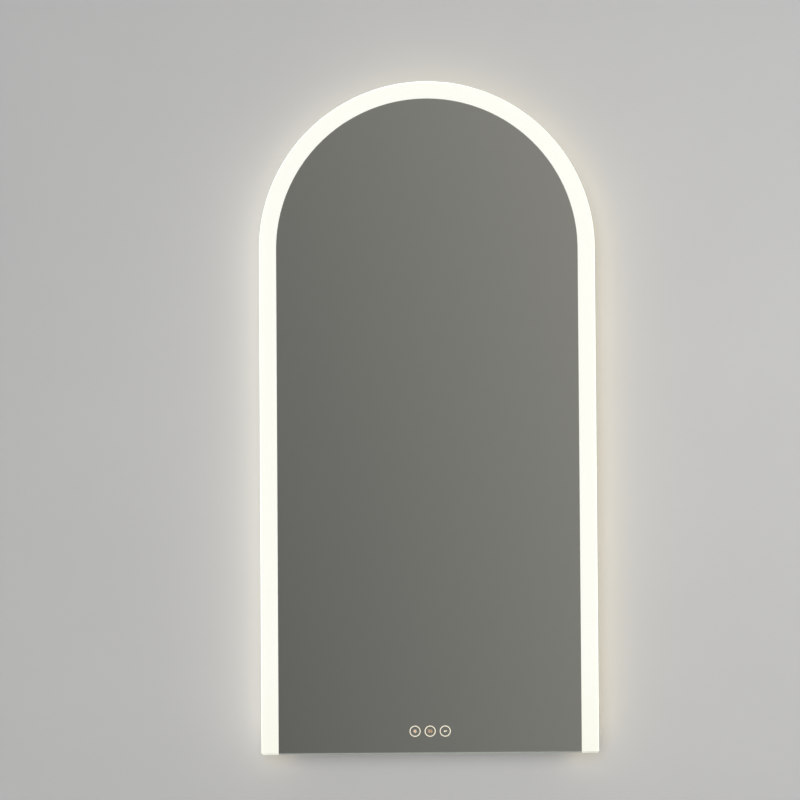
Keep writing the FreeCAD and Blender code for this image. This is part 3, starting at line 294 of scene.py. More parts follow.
# Zinc on steel, plated or hot dipped. Spangles, their size in millimetres, differ in grey and
# tilt the reflection, and handling scuffs the thin passivation over them.
def zincSteel(name, spangle, high, low):
    material, tree = newMaterial(name)
    cells = addNode(tree, "TexVoronoi", {"Scale": 1 / spangle, "Randomness": 1.0},
                    {"Vector": millimetres(tree)})
    grey = addNode(tree, "RGBToBW", {}, {0: cells.outputs["Color"]})
    colour = addNode(tree, "MixRGB", {"Color1": linear(low), "Color2": linear(high)},
                     {"Fac": grey.outputs[0]})
    scuff = addNode(tree, "TexNoise", {"Scale": 0.25, "Detail": 6.0, "Roughness": 0.7},
                    {"Vector": millimetres(tree)})
    rough = addNode(tree, "MapRange", {"From Min": 0.3, "From Max": 0.75, "To Min": 0.26,
                                       "To Max": 0.5}, {0: scuff.outputs[0]})
    bump = addNode(tree, "Bump", {"Strength": 0.25, "Distance": 0.00008},
                   {"Height": cells.outputs["Distance"]})
    shader = addNode(tree, "BsdfPrincipled", {"Metallic": 1.0}, {
        "Base Color": colour.outputs[0], "Roughness": rough.outputs[0],
        "Normal": bump.outputs[0]})
    addNode(tree, "OutputMaterial", {}, {"Surface": shader.outputs[0]})
    return material


# Coil-coated steel. Polyester paint with an orange peel about 1.5 mm across and faint dust.
def coilCoatedSteel():
    material, tree = newMaterial("coilCoatedSteel")
    peel = addNode(tree, "TexNoise", {"Scale": 0.7, "Detail": 2.0}, {"Vector": millimetres(tree)})
    dust = addNode(tree, "TexNoise", {"Scale": 0.02, "Detail": 5.0, "Roughness": 0.6},
                   {"Vector": millimetres(tree)})
    colour = addNode(tree, "MixRGB", {"Color1": linear("#BEC1C1"), "Color2": linear("#CFD1CF")},
                     {"Fac": dust.outputs[0]})
    rough = addNode(tree, "MapRange", {"To Min": 0.3, "To Max": 0.5}, {0: dust.outputs[0]})
    bump = addNode(tree, "Bump", {"Strength": 0.5, "Distance": 0.00015},
                   {"Height": peel.outputs[0]})
    shader = addNode(tree, "BsdfPrincipled", {}, {
        "Base Color": colour.outputs[0], "Roughness": rough.outputs[0],
        "Normal": bump.outputs[0]})
    addNode(tree, "OutputMaterial", {}, {"Surface": shader.outputs[0]})
    return material


# A moulded or extruded plastic or rubber. The mould's spark-eroded grain is size mm across;
# handling leaves slow changes of gloss.
def mouldedPolymer(name, low, high, size, roughness, depth, ior=1.5):
    material, tree = newMaterial(name)
    grain = addNode(tree, "TexNoise", {"Scale": 1 / size, "Detail": 2.0},
                    {"Vector": millimetres(tree)})
    wear = addNode(tree, "TexNoise", {"Scale": 0.06, "Detail": 4.0}, {"Vector": millimetres(tree)})
    colour = addNode(tree, "MixRGB", {"Color1": linear(low), "Color2": linear(high)},
                     {"Fac": wear.outputs[0]})
    rough = addNode(tree, "MapRange", {"To Min": roughness - 0.08, "To Max": roughness + 0.08},
                    {0: wear.outputs[0]})
    bump = addNode(tree, "Bump", {"Strength": 0.4, "Distance": depth},
                   {"Height": grain.outputs[0]})
    shader = addNode(tree, "BsdfPrincipled", {"IOR": ior}, {
        "Base Color": colour.outputs[0], "Roughness": rough.outputs[0],
        "Normal": bump.outputs[0]})
    addNode(tree, "OutputMaterial", {}, {"Surface": shader.outputs[0]})
    return material


# Cellular polyethylene or polyurethane: cells size mm across show as pits on cut faces, each
# painted darker towards its middle as shade in the pit.
def cellularFoam(name, low, high, size):
    material, tree = newMaterial(name)
    cells = addNode(tree, "TexVoronoi", {"Scale": 1 / size}, {"Vector": millimetres(tree)})
    # painted shade: darkest at the middle of each pit, palest at its rim
    colour = addNode(tree, "MixRGB", {"Color1": linear(low), "Color2": linear(high)},
                     {"Fac": cells.outputs["Distance"]})
    bump = addNode(tree, "Bump", {"Strength": 0.6, "Distance": 0.0001},
                   {"Height": cells.outputs["Distance"]})
    shader = addNode(tree, "BsdfPrincipled", {"Roughness": 0.85}, {
        "Base Color": colour.outputs[0], "Normal": bump.outputs[0]})
    addNode(tree, "OutputMaterial", {}, {"Surface": shader.outputs[0]})
    return material


# Flexible light strip: white coverlay on polyimide, with copper cut pads every chip pitch.
def stripLaminate():
    material, tree = newMaterial("whiteCoverlayStrip")
    way, along = wayRound(tree)
    turn = addNode(tree, "Math", {"operation": "MULTIPLY", 1: 1 / lightStrip["pitch"]},
                   {0: along})
    share = addNode(tree, "Math", {"operation": "FRACT"}, {0: turn.outputs[0]})
    near = addNode(tree, "Math", {"operation": "LESS_THAN", 1: lightStrip["padShare"]},
                   {0: share.outputs[0]})
    depth = addNode(tree, "SeparateXYZ", {}, {0: way})
    off = addNode(tree, "Math", {"operation": "ADD", 1: lightStrip["depth"]},
                  {0: depth.outputs["Y"]})
    side = addNode(tree, "Math", {"operation": "ABSOLUTE"}, {0: off.outputs[0]})
    outer = addNode(tree, "Math", {"operation": "GREATER_THAN", 1: lightStrip["padEdge"]},
                    {0: side.outputs[0]})
    pads = addNode(tree, "Math", {"operation": "MULTIPLY"},
                   {0: near.outputs[0], 1: outer.outputs[0]})
    colour = addNode(tree, "MixRGB", {"Color1": linear("#EFEFE9"), "Color2": linear("#C98F5A")},
                     {"Fac": pads.outputs[0]})
    shader = addNode(tree, "BsdfPrincipled", {"Roughness": 0.45}, {
        "Base Color": colour.outputs[0], "Metallic": pads.outputs[0]})
    addNode(tree, "OutputMaterial", {}, {"Surface": shader.outputs[0]})
    return material


# Light chips: a white package filled with phosphor gel, which glows on the face that looks
# out. In the strip that is the broad face; the touch lamps look at the glass.
def phosphorGel():
    material, tree = newMaterial("phosphorGelLit")
    speck = addNode(tree, "TexNoise", {"Scale": 6.0, "Detail": 2.0}, {"Vector": millimetres(tree)})
    gel = addNode(tree, "MixRGB", {"Color1": linear("#F2D779"), "Color2": linear("#FBE9A6")},
                  {"Fac": speck.outputs[0]})
    shader = addNode(tree, "BsdfPrincipled", {
        "Roughness": 0.25, "Emission Color": linear("#FFF6DC"), "Emission Strength": 1.0,
    }, {"Base Color": gel.outputs[0]})
    addNode(tree, "OutputMaterial", {}, {"Surface": shader.outputs[0]})
    return material


# Etched foil between two sheets of polyester. The heating track runs to and fro, 5 mm from one
# run to the next, with a dull gap between the runs.
def heaterFoil():
    material, tree = newMaterial("etchedFoilPolyester")
    spot = addNode(tree, "SeparateXYZ", {}, {0: millimetres(tree)})
    turn = addNode(tree, "Math", {"operation": "MULTIPLY", 1: 1 / 5}, {0: spot.outputs["Z"]})
    share = addNode(tree, "Math", {"operation": "FRACT"}, {0: turn.outputs[0]})
    gap = addNode(tree, "Math", {"operation": "LESS_THAN", 1: 0.3}, {0: share.outputs[0]})
    colour = addNode(tree, "MixRGB", {"Color1": linear("#B9B2A2"), "Color2": linear("#8A6A3C")},
                     {"Fac": gap.outputs[0]})
    metal = addNode(tree, "MapRange", {"To Min": 0.8, "To Max": 0.0}, {0: gap.outputs[0]})
    shader = addNode(tree, "BsdfPrincipled", {"Roughness": 0.3, "Coat Weight": 0.6,
                                              "Coat Roughness": 0.15}, {
        "Base Color": colour.outputs[0], "Metallic": metal.outputs[0]})
    addNode(tree, "OutputMaterial", {}, {"Surface": shader.outputs[0]})
    return material


# Glass-fibre board under green solder mask, with tracks 1 mm apart showing lighter.
def solderMaskBoard():
    material, tree = newMaterial("solderMaskBoard")
    tracks = addNode(tree, "TexBrick", {
        "Color1": linear("#0E4A2C"), "Color2": linear("#12573A"), "Mortar": linear("#2C7A52"),
        "Scale": 0.25, "Mortar Size": 0.04, "Mortar Smooth": 0.2,
    }, {"Vector": addNode(tree, "Mapping", {"Rotation": (math.pi / 2, 0, 0)},
                          {"Vector": millimetres(tree)}).outputs[0]})
    weave = addNode(tree, "TexWave", {"Scale": 1.2}, {"Vector": millimetres(tree)})
    bump = addNode(tree, "Bump", {"Strength": 0.1, "Distance": 0.00003},
                   {"Height": weave.outputs["Fac"]})
    shader = addNode(tree, "BsdfPrincipled", {"Roughness": 0.35}, {
        "Base Color": tracks.outputs["Color"], "Normal": bump.outputs[0]})
    addNode(tree, "OutputMaterial", {}, {"Surface": shader.outputs[0]})
    return material


touchWindows = {
    "pitch": 0.0224,
    "height": 0.0327,  # above the foot of the glass
    "outer": 0.0082,  # radii of the ring
    "inner": 0.0069,
    # print on each tile: its colour and how far it reaches from the middle
    "tints": (("#E88E5C", 0.0012), ("#EDB487", 0.0045), ("#FFF4D2", 0.0045)),
}
windowZ = footZ + touchWindows["height"]
windowCentres = [((k - 1) * touchWindows["pitch"], windowZ, tint, reach)
                 for k, (tint, reach) in enumerate(touchWindows["tints"])]

sheetSteel = zincSteel("zincPlatedSheet", 4.0, "#CDD1D4", "#8B9196")
hookSteel = zincSteel("galvanisedSheet", 6.0, "#D9DBD9", "#A3A7A6")
plasticWhite = mouldedPolymer("absMouldedWhite", "#DFDDD6", "#E9E7E1", 0.5, 0.42, 0.00006)
plasticBlack = mouldedPolymer("nylonMouldedBlack", "#141516", "#1D1E1F", 0.5, 0.45, 0.00006)
finishes = {
    "mirror_glass": floatGlass(),
    "silvered_film": silveredGlassBack(),
    "frosted_band": sandblastedGlass(),
    "opal_cover": opalPolycarbonate(),
    "opal_tiles": opalAcrylic(windowCentres),
    "arch_profile": anodisedAluminium("anodisedAluminiumBent", True),
    "bottom_rail": anodisedAluminium("anodisedAluminiumStraight", False),
    "back_panel": coilCoatedSteel(),
    "wall_rail": sheetSteel,
    "hanging_hooks": hookSteel,
    "cross_brace": sheetSteel,
    "corner_keys": zincSteel("zincDieCast", 1.5, "#B4B7B8", "#8F9395"),
    "rim_screws": zincSteel("zincPlatedScrew", 0.8, "#D3D6D8", "#AEB3B7"),
    "hook_rivets": zincSteel("zincPlatedRivet", 1.0, "#E2E3E4", "#C9CBCD"),
    "end_caps": plasticWhite,
    "terminal_box": plasticWhite,
    "led_driver": mouldedPolymer("polycarbonateMouldedWhite", "#E4E3DE", "#EDECE8", 0.6, 0.36,
                                 0.00005, 1.585),
    "terminal_block": plasticBlack,
    "touch_housing": plasticBlack,
    "lead_clips": plasticBlack,
    "heater_clips": plasticBlack,
    "cable_grommet": mouldedPolymer("epdmRubberMoulded", "#191A1B", "#232425", 0.3, 0.72, 0.00005),
    "wall_spacers": mouldedPolymer("siliconeRubberMoulded", "#1D1E1F", "#2A2B2C", 0.3, 0.66,
                                   0.00005, 1.41),
    "bonding_tape": cellularFoam("acrylicFoamTape", "#101011", "#1E1E1F", 0.3),
    "touch_contacts": cellularFoam("conductiveFoam", "#2B2B2C", "#454546", 0.5),
    "light_strip": stripLaminate(),
    "light_chips": phosphorGel(),
    "demister_pad": heaterFoil(),
    "touch_board": solderMaskBoard(),
    "strip_lead": mouldedPolymer("pvcSheathWhite", "#DEDCD4", "#E8E6DF", 0.8, 0.4, 0.00004, 1.53),
    "mains_lead": mouldedPolymer("pvcSheathGrey", "#A9AAA7", "#B5B6B3", 0.8, 0.4, 0.00004, 1.53),
}
finishes["driver_screws"] = finishes["rim_screws"]
finishes["touch_lamps"] = finishes["light_chips"]
finishes["touch_lead"] = finishes["strip_lead"]
finishes["demister_lead"] = finishes["strip_lead"]
for name, node in nodes.items():
    node.data.materials.clear()
    node.data.materials.append(finishes[name])
print("materials made:", len(set(finishes.values())))


# Makes a piece from a bmesh, gives it its finish and body, and hides the plain solid.
def dress(mesh, name, node, sharpAngle=30):
    bmesh.ops.recalc_face_normals(mesh, faces=mesh.faces)
    data = bpy.data.meshes.new(name)
    mesh.to_mesh(data)
    mesh.free()
    data.shade_smooth()
    data.set_sharp_from_angle(angle=math.radians(sharpAngle))
    data.materials.append(finishes[node])
    piece = bpy.data.objects.new(name, data)
    bpy.context.scene.collection.objects.link(piece)
    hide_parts(node)
    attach(piece, "mirror")


# Points of the outline, inset from the edge of the glass: round from the left foot.
def archLoop(inset, foot, steps):
    radius = halfWidth - inset
    points = [(-radius, foot)]
    for k in range(steps + 1):
        angle = math.pi * (1 - k / steps)
        points.append((radius * math.cos(angle), archZ + radius * math.sin(angle)))
    points.append((radius, foot))
    return points


def ringLoop(x, z, radius, steps=64):
    return [(x + radius * math.cos(2 * math.pi * k / steps),
             z + radius * math.sin(2 * math.pi * k / steps)) for k in range(steps)]


# Flat sheet between two depths whose outline and openings are closed loops of (x, z) points.
def cutSheet(mesh, loops, front, rear):
    sides = []
    for y in (front, rear):
        made = [[mesh.verts.new((x, y, z)) for x, z in loop] for loop in loops]
        edges = [mesh.edges.new((a, b)) for corners in made
                 for a, b in zip(corners, corners[1:] + corners[:1])]
        bmesh.ops.triangle_fill(mesh, use_beauty=True, use_dissolve=False, edges=edges)
        sides.append(made)
    for near, far in zip(*sides):
        for i in range(len(near)):
            k = (i + 1) % len(near)
            mesh.faces.new((near[i], near[k], far[k], far[i]))


# A stroke of even width with square ends through (x, z) points.
def strokeLoop(points, width):
    left, right = [], []
    for i, point in enumerate(points):
        before = points[max(i - 1, 0)]
        after = points[min(i + 1, len(points) - 1)]
        way = Vector((after[0] - before[0], after[1] - before[1])).normalized()
        off = Vector((-way.y, way.x)) * width / 2
        left.append((point[0] + off.x, point[1] + off.y))
        right.append((point[0] - off.x, point[1] - off.y))
    return left + right[::-1]


# The plate: rear arris, edge and front arris, with the turn at each arris slightly eased. A
# hair of air keeps its back off the silvering, or the mirror would go black.
glassPlate = {"arris": 0.001, "eased": 0.2, "steps": 180, "airGap": 0.00003}
plate = bmesh.new()
arris, eased = glassPlate["arris"], glassPlate["eased"]
section = [(1, 0), (1 - eased / 2, eased / 4), (eased / 4, 1 - eased / 2), (0, 1)]
rearFace = glassHigh.y - glassPlate["airGap"]
levels = [(arris * i, rearFace - arris * d) for i, d in section]
levels += [(arris * i, glassLow.y + arris * d) for i, d in reversed(section)]
rings = [[plate.verts.new((x, y, z)) for x, z in
          archLoop(inset, footZ + inset, glassPlate["steps"])] for inset, y in levels]
for near, far in zip(rings, rings[1:]):
    for i in range(len(near)):
        k = (i + 1) % len(near)
        plate.faces.new((near[i], near[k], far[k], far[i]))
plate.faces.new(rings[0])
plate.faces.new(rings[-1])
dress(plate, "float_glass_plate", "mirror_glass", 12)

# The silvering, with the ring windows and generic symbols: lamp, demister and dimmer.
symbolSet = {
    "bulb": 0.0020, "rays": 8, "ray": (0.0025, 0.0031), "rayLine": 0.0004,
    "waves": 3, "wave": 0.0034, "waveStep": 0.0016, "waveRise": 0.0004, "waveLine": 0.0006,
    "knob": 0.00125, "knobSpot": (-0.0009, -0.0002), "bar": 0.0015,
    "barEnds": ((0.0006, 0.0), (0.0025, 0.0005)),
}
film = bmesh.new()
loops = [archLoop(halfWidth - filmHigh.x, filmLow.z, glassPlate["steps"])]
windowXs = [centre[0] for centre in windowCentres]
for x in windowXs:
    loops += [ringLoop(x, windowZ, touchWindows[edge], 96) for edge in ("outer", "inner")]
lampX, demisterX, dimmerX = windowXs
loops.append(ringLoop(lampX, windowZ, symbolSet["bulb"], 40))
for k in range(symbolSet["rays"]):
    angle = 2 * math.pi * k / symbolSet["rays"]
    ray = [(lampX + r * math.cos(angle), windowZ + r * math.sin(angle)) for r in symbolSet["ray"]]
    loops.append(strokeLoop(ray, symbolSet["rayLine"]))
for k in range(symbolSet["waves"]):
    level = windowZ + (k - 1) * symbolSet["waveStep"]
    wave = [(demisterX + symbolSet["wave"] * t / 12,
             level + symbolSet["waveRise"] * math.sin(t / 12 * 2 * math.pi))
            for t in range(-12, 13)]
    loops.append(strokeLoop(wave, symbolSet["waveLine"]))
knobX, knobZ = symbolSet["knobSpot"]
loops.append(ringLoop(dimmerX + knobX, windowZ + knobZ, symbolSet["knob"], 32))
bar = [(dimmerX + x, windowZ + z) for x, z in symbolSet["barEnds"]]
loops.append(strokeLoop(bar, symbolSet["bar"]))
cutSheet(film, loops, filmLow.y, filmHigh.y)
dress(film, "silvering_with_windows", "silvered_film")
print("glass pieces made")


# Turned form about an axis along Y, from (radius, y) points that run from the axis to the axis,
# or round a ring and back to its first point.
def turnedForm(mesh, profile, x, z, steps=32):
    rows = []
    for radius, y in profile:
        if radius == 0:
            rows.append([mesh.verts.new((x, y, z))] * steps)
        else:
            rows.append([mesh.verts.new((px, y, pz)) for px, pz in ringLoop(x, z, radius, steps)])
    for near, far in zip(rows, rows[1:]):
        for i in range(steps):
            k = (i + 1) % steps
            corners = list(dict.fromkeys((near[i], near[k], far[k], far[i])))
            if len(corners) > 2:
                mesh.faces.new(corners)


# Centres (x, z) of the separate solids in a node, each found from its connected vertices.
def solidCentres(node):
    mesh = bmesh.new()
    mesh.from_mesh(nodes[node].data)
    bmesh.ops.remove_doubles(mesh, verts=mesh.verts, dist=1e-6)
    centres, seen = [], set()
    for start in mesh.verts:
        if start in seen:
            continue
        group, reach = [], [start]
        seen.add(start)
        while reach:
            vert = reach.pop()
            group.append(vert.co.copy())
            for edge in vert.link_edges:
                other = edge.other_vert(vert)
                if other not in seen:
                    seen.add(other)
                    reach.append(other)
        xs, zs = [p.x for p in group], [p.z for p in group]
        centres.append(((min(xs) + max(xs)) / 2, (min(zs) + max(zs)) / 2))
    mesh.free()
    return centres


# Hexagon head sheet screw with a dished top, a cross recess and rolled threads.
sheetScrew = {
    "head": 0.0029, "height": 0.0017, "bevel": 0.0003, "dish": 0.0002,
    "shares": (0.9, 0.78, 0.7),  # bevelled top, edge of the dish and its floor, of the head
    "recess": 0.0008, "arm": 0.0014, "armWidth": 0.0005, "recessFoot": 0.7,
    "shank": 0.0015, "length": 0.005, "thread": 0.0009, "root": 0.78, "crest": 0.98,
    "turn": 0.7,  # from one screw to the next, as they were driven
}


def screwForm(mesh, x, z, seat, outward, turn):
    screw = sheetScrew
    top = seat + outward * screw["height"]
    dish = top - outward * screw["dish"]
    hexagon = [(x + screw["head"] * math.cos(turn + math.pi / 6 * (2 * k + 1)),
                z + screw["head"] * math.sin(turn + math.pi / 6 * (2 * k + 1)))
               for k in range(6)]

    def scaled(loop, share):
        return [(x + (px - x) * share, z + (pz - z) * share) for px, pz in loop]

    a, w = screw["arm"], screw["armWidth"] / 2
    cross = [(a, -w), (a, w), (w, w), (w, a), (-w, a), (-w, w), (-a, w), (-a, -w), (-w, -w),
             (-w, -a), (w, -a), (w, -w)]
    cosine, sine = math.cos(turn), math.sin(turn)
    cross = [(x + p * cosine - q * sine, z + p * sine + q * cosine) for p, q in cross]
    bevelled, dishEdge, dishFloor = screw["shares"]
    levels = [(hexagon, seat), (hexagon, top - outward * screw["bevel"]),
              (scaled(hexagon, bevelled), top), (scaled(hexagon, dishEdge), top),
              (scaled(hexagon, dishFloor), dish)]
    rows = [[mesh.verts.new((px, y, pz)) for px, pz in loop] for loop, y in levels]
    for near, far in zip(rows, rows[1:]):
        for i in range(6):
            k = (i + 1) % 6
            mesh.faces.new((near[i], near[k], far[k], far[i]))
    mouth = [mesh.verts.new((px, dish, pz)) for px, pz in cross]
    pit = [mesh.verts.new((px, dish - outward * screw["recess"], pz))
           for px, pz in scaled(cross, screw["recessFoot"])]
    edges = [mesh.edges.new((a, b)) for a, b in zip(mouth, mouth[1:] + mouth[:1])]
    edges += [mesh.edges.get((a, b)) for a, b in zip(rows[-1], rows[-1][1:] + rows[-1][:1])]
    bmesh.ops.triangle_fill(mesh, use_beauty=True, edges=edges)
    for i in range(12):
        k = (i + 1) % 12
        mesh.faces.new((mouth[i], mouth[k], pit[k], pit[i]))
    mesh.faces.new(pit)
    mesh.faces.new(rows[0])
    root, crest = screw["shank"] * screw["root"], screw["shank"] * screw["crest"]
    profile = [(screw["shank"] * 0.8, seat)]
    for k in range(int(screw["length"] / screw["thread"])):
        start = seat - outward * (screw["bevel"] + k * screw["thread"])
        profile += [(root, start), (crest, start - outward * screw["thread"] * 0.45),
                    (root, start - outward * screw["thread"] * 0.9)]
    profile += [(0, seat - outward * screw["length"])]
    turnedForm(mesh, profile, x, z, 16)


def makeScrews(node, name, seat, outward):
    mesh = bmesh.new()
    for k, (x, z) in enumerate(solidCentres(node)):
        screwForm(mesh, x, z, seat, outward, sheetScrew["turn"] * k)
    dress(mesh, name, node, 25)


panelLow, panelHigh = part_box("back_panel")
makeScrews("rim_screws", "cross_recess_rim_screws", panelHigh.y, 1)
earThickness = 0.002  # the screws hold the power supply by its ears
makeScrews("driver_screws", "cross_recess_driver_screws", panelLow.y - earThickness, -1)

# Blind rivets: domed head with the broken mandrel in its middle, and the upset end. The dome is
# given in shares of the head's radius and rise.
blindRivet = {
    "head": 0.004, "rise": 0.0012, "shank": 0.002, "tail": 0.003, "mandrel": 0.0011,
    "dome": ((0.55, 0.96), (0.75, 0.84), (0.9, 0.6), (0.98, 0.3), (1.0, 0.0)), "turns": 40,
}
rivetLow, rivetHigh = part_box("hook_rivets")
rivets = bmesh.new()
rise, tail, mandrel = blindRivet["rise"], blindRivet["tail"], blindRivet["mandrel"]
seat, end = rivetHigh.y - rise, rivetLow.y + rise
well = [(0, seat + rise * 0.45), (mandrel * 0.8, seat + rise * 0.45), (mandrel, seat + rise)]
dome = [(blindRivet["head"] * across, seat + rise * up) for across, up in blindRivet["dome"]]
upset = [(blindRivet["shank"], seat), (blindRivet["shank"], end), (tail, end),
         (tail * 0.93, end - rise * 0.6), (tail * 0.6, rivetLow.y), (0, rivetLow.y)]
for x, z in solidCentres("hook_rivets"):
    turnedForm(rivets, well + dome + upset, x, z, blindRivet["turns"])
dress(rivets, "domed_blind_rivets", "hook_rivets", 35)
print("fasteners made")


# Quarter round at the edge of a turned form that ends at the level top.
def roundedRim(radius, top, curve, steps):
    return [(radius - curve + curve * math.sin(k * math.pi / 2 / steps),
             top - curve + curve * math.cos(k * math.pi / 2 / steps)) for k in range(steps + 1)]


# Moulded rubber bumpers: rounded rim, a shallow ring groove and a dished middle against the
# wall. Groove and dish are given in shares of the radius, from the middle out.
bumper = {
    "round": 0.0018, "groove": 0.0009, "grooveShares": (0.54, 0.57, 0.63, 0.66),
    "dish": 0.0006, "dishShares": ((0.2, 0.8), (0.4, 0.2), (0.48, 0.0)), "chamfer": 0.0006,
    "turns": 96,
}
spacerLow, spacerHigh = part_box("wall_spacers")
bumpers = bmesh.new()
spacerRadius, spacerTop = (spacerHigh.z - spacerLow.z) / 2, spacerHigh.y
bumperForm = [(0, spacerTop - bumper["dish"])]
bumperForm += [(spacerRadius * across, spacerTop - bumper["dish"] * deep)
               for across, deep in bumper["dishShares"]]
bumperForm += [(spacerRadius * across, spacerTop - bumper["groove"] * deep)
               for across, deep in zip(bumper["grooveShares"], (0, 1, 1, 0))]
bumperForm += roundedRim(spacerRadius, spacerTop, bumper["round"], 8)
bumperForm += [(spacerRadius, spacerLow.y + bumper["chamfer"]),
               (spacerRadius - bumper["chamfer"], spacerLow.y), (0, spacerLow.y)]
for x, z in solidCentres("wall_spacers"):
    turnedForm(bumpers, bumperForm, x, z, bumper["turns"])
dress(bumpers, "ringed_rubber_bumpers", "wall_spacers", 35)

# Cable grommet: a flange with a rounded rim, a bore with a sealing bead and a sleeve that
# tapers where it was pulled through the panel.
cableGrommet = {
    "bore": 0.004, "bead": 0.00025, "beadDepths": (0.0012, 0.0008, 0.0004), "lip": 0.0006,
    "round": 0.0007, "flange": 0.002, "neck": 0.0066, "taper": 0.0008, "taperLength": 0.0015,
    "turns": 96,
}
grommetLow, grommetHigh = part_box("cable_grommet")
grommetForm = bmesh.new()
bore, neck = cableGrommet["bore"], cableGrommet["neck"]
grommetRadius, grommetTop = (grommetHigh.x - grommetLow.x) / 2, grommetHigh.y
under = grommetTop - cableGrommet["flange"]
beadStart, beadFull, beadEnd = [grommetTop - depth for depth in cableGrommet["beadDepths"]]
sleeve = [(bore, grommetLow.y), (bore, beadStart), (bore + cableGrommet["bead"], beadFull),
          (bore + cableGrommet["bead"], beadEnd), (bore + cableGrommet["lip"], grommetTop)]
sleeve += roundedRim(grommetRadius, grommetTop, cableGrommet["round"], 6)
sleeve += [(grommetRadius, under), (neck, under),
           (neck, grommetLow.y + cableGrommet["taperLength"]),
           (neck - cableGrommet["taper"], grommetLow.y), (bore, grommetLow.y)]
turnedForm(grommetForm, sleeve, (grommetLow.x + grommetHigh.x) / 2,
           (grommetLow.z + grommetHigh.z) / 2, cableGrommet["turns"])
bmesh.ops.remove_doubles(grommetForm, verts=grommetForm.verts, dist=1e-7)
dress(grommetForm, "beaded_cable_grommet", "cable_grommet", 35)
print("rubber pieces made")

# Studio: a one-sided wall and a pale floor in soft light from the front, from behind and from
# above. Each softbox is named by where it stands, seen from the mirror, with its light on a
# surface that faces it, its spread in degrees and whether metal reflects it.
studio = {
    "ambient": 0.34,
    "softboxes": {
        "front": ((-0.18, -1.0, 0.3), 2.0, 48, False),
        "rear": ((-0.5, 1.0, 0.6), 1.8, 30, True),
        "overhead": ((0.0, 0.0, 1.0), 1.3, 36, True),
    },
    "wallY": 0.0005, "wallReach": 4, "wallTop": 3,
    "floorZ": -1.75, "floorReach": 6,
}


def stagePlane(name, corners, material):
    mesh = bmesh.new()
    mesh.faces.new([mesh.verts.new(corner) for corner in corners])
    data = bpy.data.meshes.new(name)
    mesh.to_mesh(data)
    mesh.free()
    data.materials.append(material)
    plane = bpy.data.objects.new(name, data)
    bpy.context.scene.collection.objects.link(plane)
    return plane


# Painted plaster, matt and rolled on. It is seen only from the room: from behind, the camera
# looks through it. Like the photograph's wall it is paler to the right.
def paintedPlaster():
    material, tree = newMaterial("paintedPlaster")
    spot = addNode(tree, "TexCoord")
    # painted light: the plaster is paler around a spot 0.75 m right of the mirror's middle and
    # darker the farther away it is
    off = addNode(tree, "VectorMath", {"operation": "MULTIPLY_ADD", 1: (1, 0, 1.2),
                                       2: (-0.75, 0, -0.02)}, {0: spot.outputs["Object"]})
    away = addNode(tree, "VectorMath", {"operation": "LENGTH"}, {0: off.outputs[0]})
    far = addNode(tree, "MapRange", {"From Min": 0.2, "From Max": 1.6}, {0: away.outputs["Value"]})
    cloud = addNode(tree, "TexNoise", {"Scale": 0.004, "Detail": 3.0},
                    {"Vector": millimetres(tree)})
    tone = addNode(tree, "MixRGB", {"Color1": linear("#C0C0C0"), "Color2": linear("#ADADAD")},
                   {"Fac": far.outputs[0]})
    colour = addNode(tree, "MixRGB", {"blend_type": "MULTIPLY", "Color2": linear("#F9F9F9")},
                     {"Fac": cloud.outputs[0], "Color1": tone.outputs[0]})
    paint = addNode(tree, "BsdfDiffuse", {}, {"Color": colour.outputs[0]})
    clear = addNode(tree, "BsdfTransparent")
    face = addNode(tree, "NewGeometry")
    shader = addNode(tree, "MixShader", {}, {0: face.outputs["Backfacing"], 1: paint.outputs[0],
                                             2: clear.outputs[0]})
    addNode(tree, "OutputMaterial", {}, {"Surface": shader.outputs[0]})
    return material


# Smooth screed in a pale grey, with slow clouds about 0.3 m across.
def paleFloor():
    material, tree = newMaterial("paleFloor")
    cloud = addNode(tree, "TexNoise", {"Scale": 0.003, "Detail": 3.0},
                    {"Vector": millimetres(tree)})
    colour = addNode(tree, "MixRGB", {"Color1": linear("#CFCDC8"), "Color2": linear("#D5D3CE")},
                     {"Fac": cloud.outputs[0]})
    shader = addNode(tree, "BsdfDiffuse", {}, {"Color": colour.outputs[0]})
    addNode(tree, "OutputMaterial", {}, {"Surface": shader.outputs[0]})
    return material


wallY, wallReach, wallTop = studio["wallY"], studio["wallReach"], studio["wallTop"]
floorZ, floorReach = studio["floorZ"], studio["floorReach"]
wall = stagePlane("studio_wall", [(-wallReach, wallY, floorZ), (wallReach, wallY, floorZ),
                                  (wallReach, wallY, wallTop), (-wallReach, wallY, wallTop)],
                  paintedPlaster())
wall.visible_diffuse = False
wall.visible_glossy = False
wall.visible_shadow = False
floor = stagePlane("studio_floor", [
    (-floorReach, -floorReach, floorZ), (floorReach, -floorReach, floorZ),
    (floorReach, floorReach, floorZ), (-floorReach, floorReach, floorZ)], paleFloor())
floor.visible_glossy = False  # so that the mirror shows the room and not the floor
floor.visible_transmission = False


# Adds a lamp that camera and mirror don't see. Its axes are those of its width, its height and
# its back.
def addLamp(name, kind, place, axes, settings, reflected=False):
    lamp = bpy.data.lights.new(name, kind)
    for key, value in settings.items():
        setattr(lamp, key, value)
    holder = bpy.data.objects.new(name, lamp)
    holder.matrix_world = Matrix.Translation(place) @ Matrix(axes).transposed().to_4x4()
    holder.visible_camera = False
    holder.visible_glossy = reflected
    holder.visible_transmission = False
    bpy.context.scene.collection.objects.link(holder)


for name, (place, light, spread, reflected) in studio["softboxes"].items():
    toLamp = Vector(place).normalized()
    side = toLamp.orthogonal().normalized()
    addLamp(name + "Softbox", "SUN", toLamp * 3, (side, toLamp.cross(side), toLamp),
            {"energy": light, "angle": math.radians(spread)}, reflected)

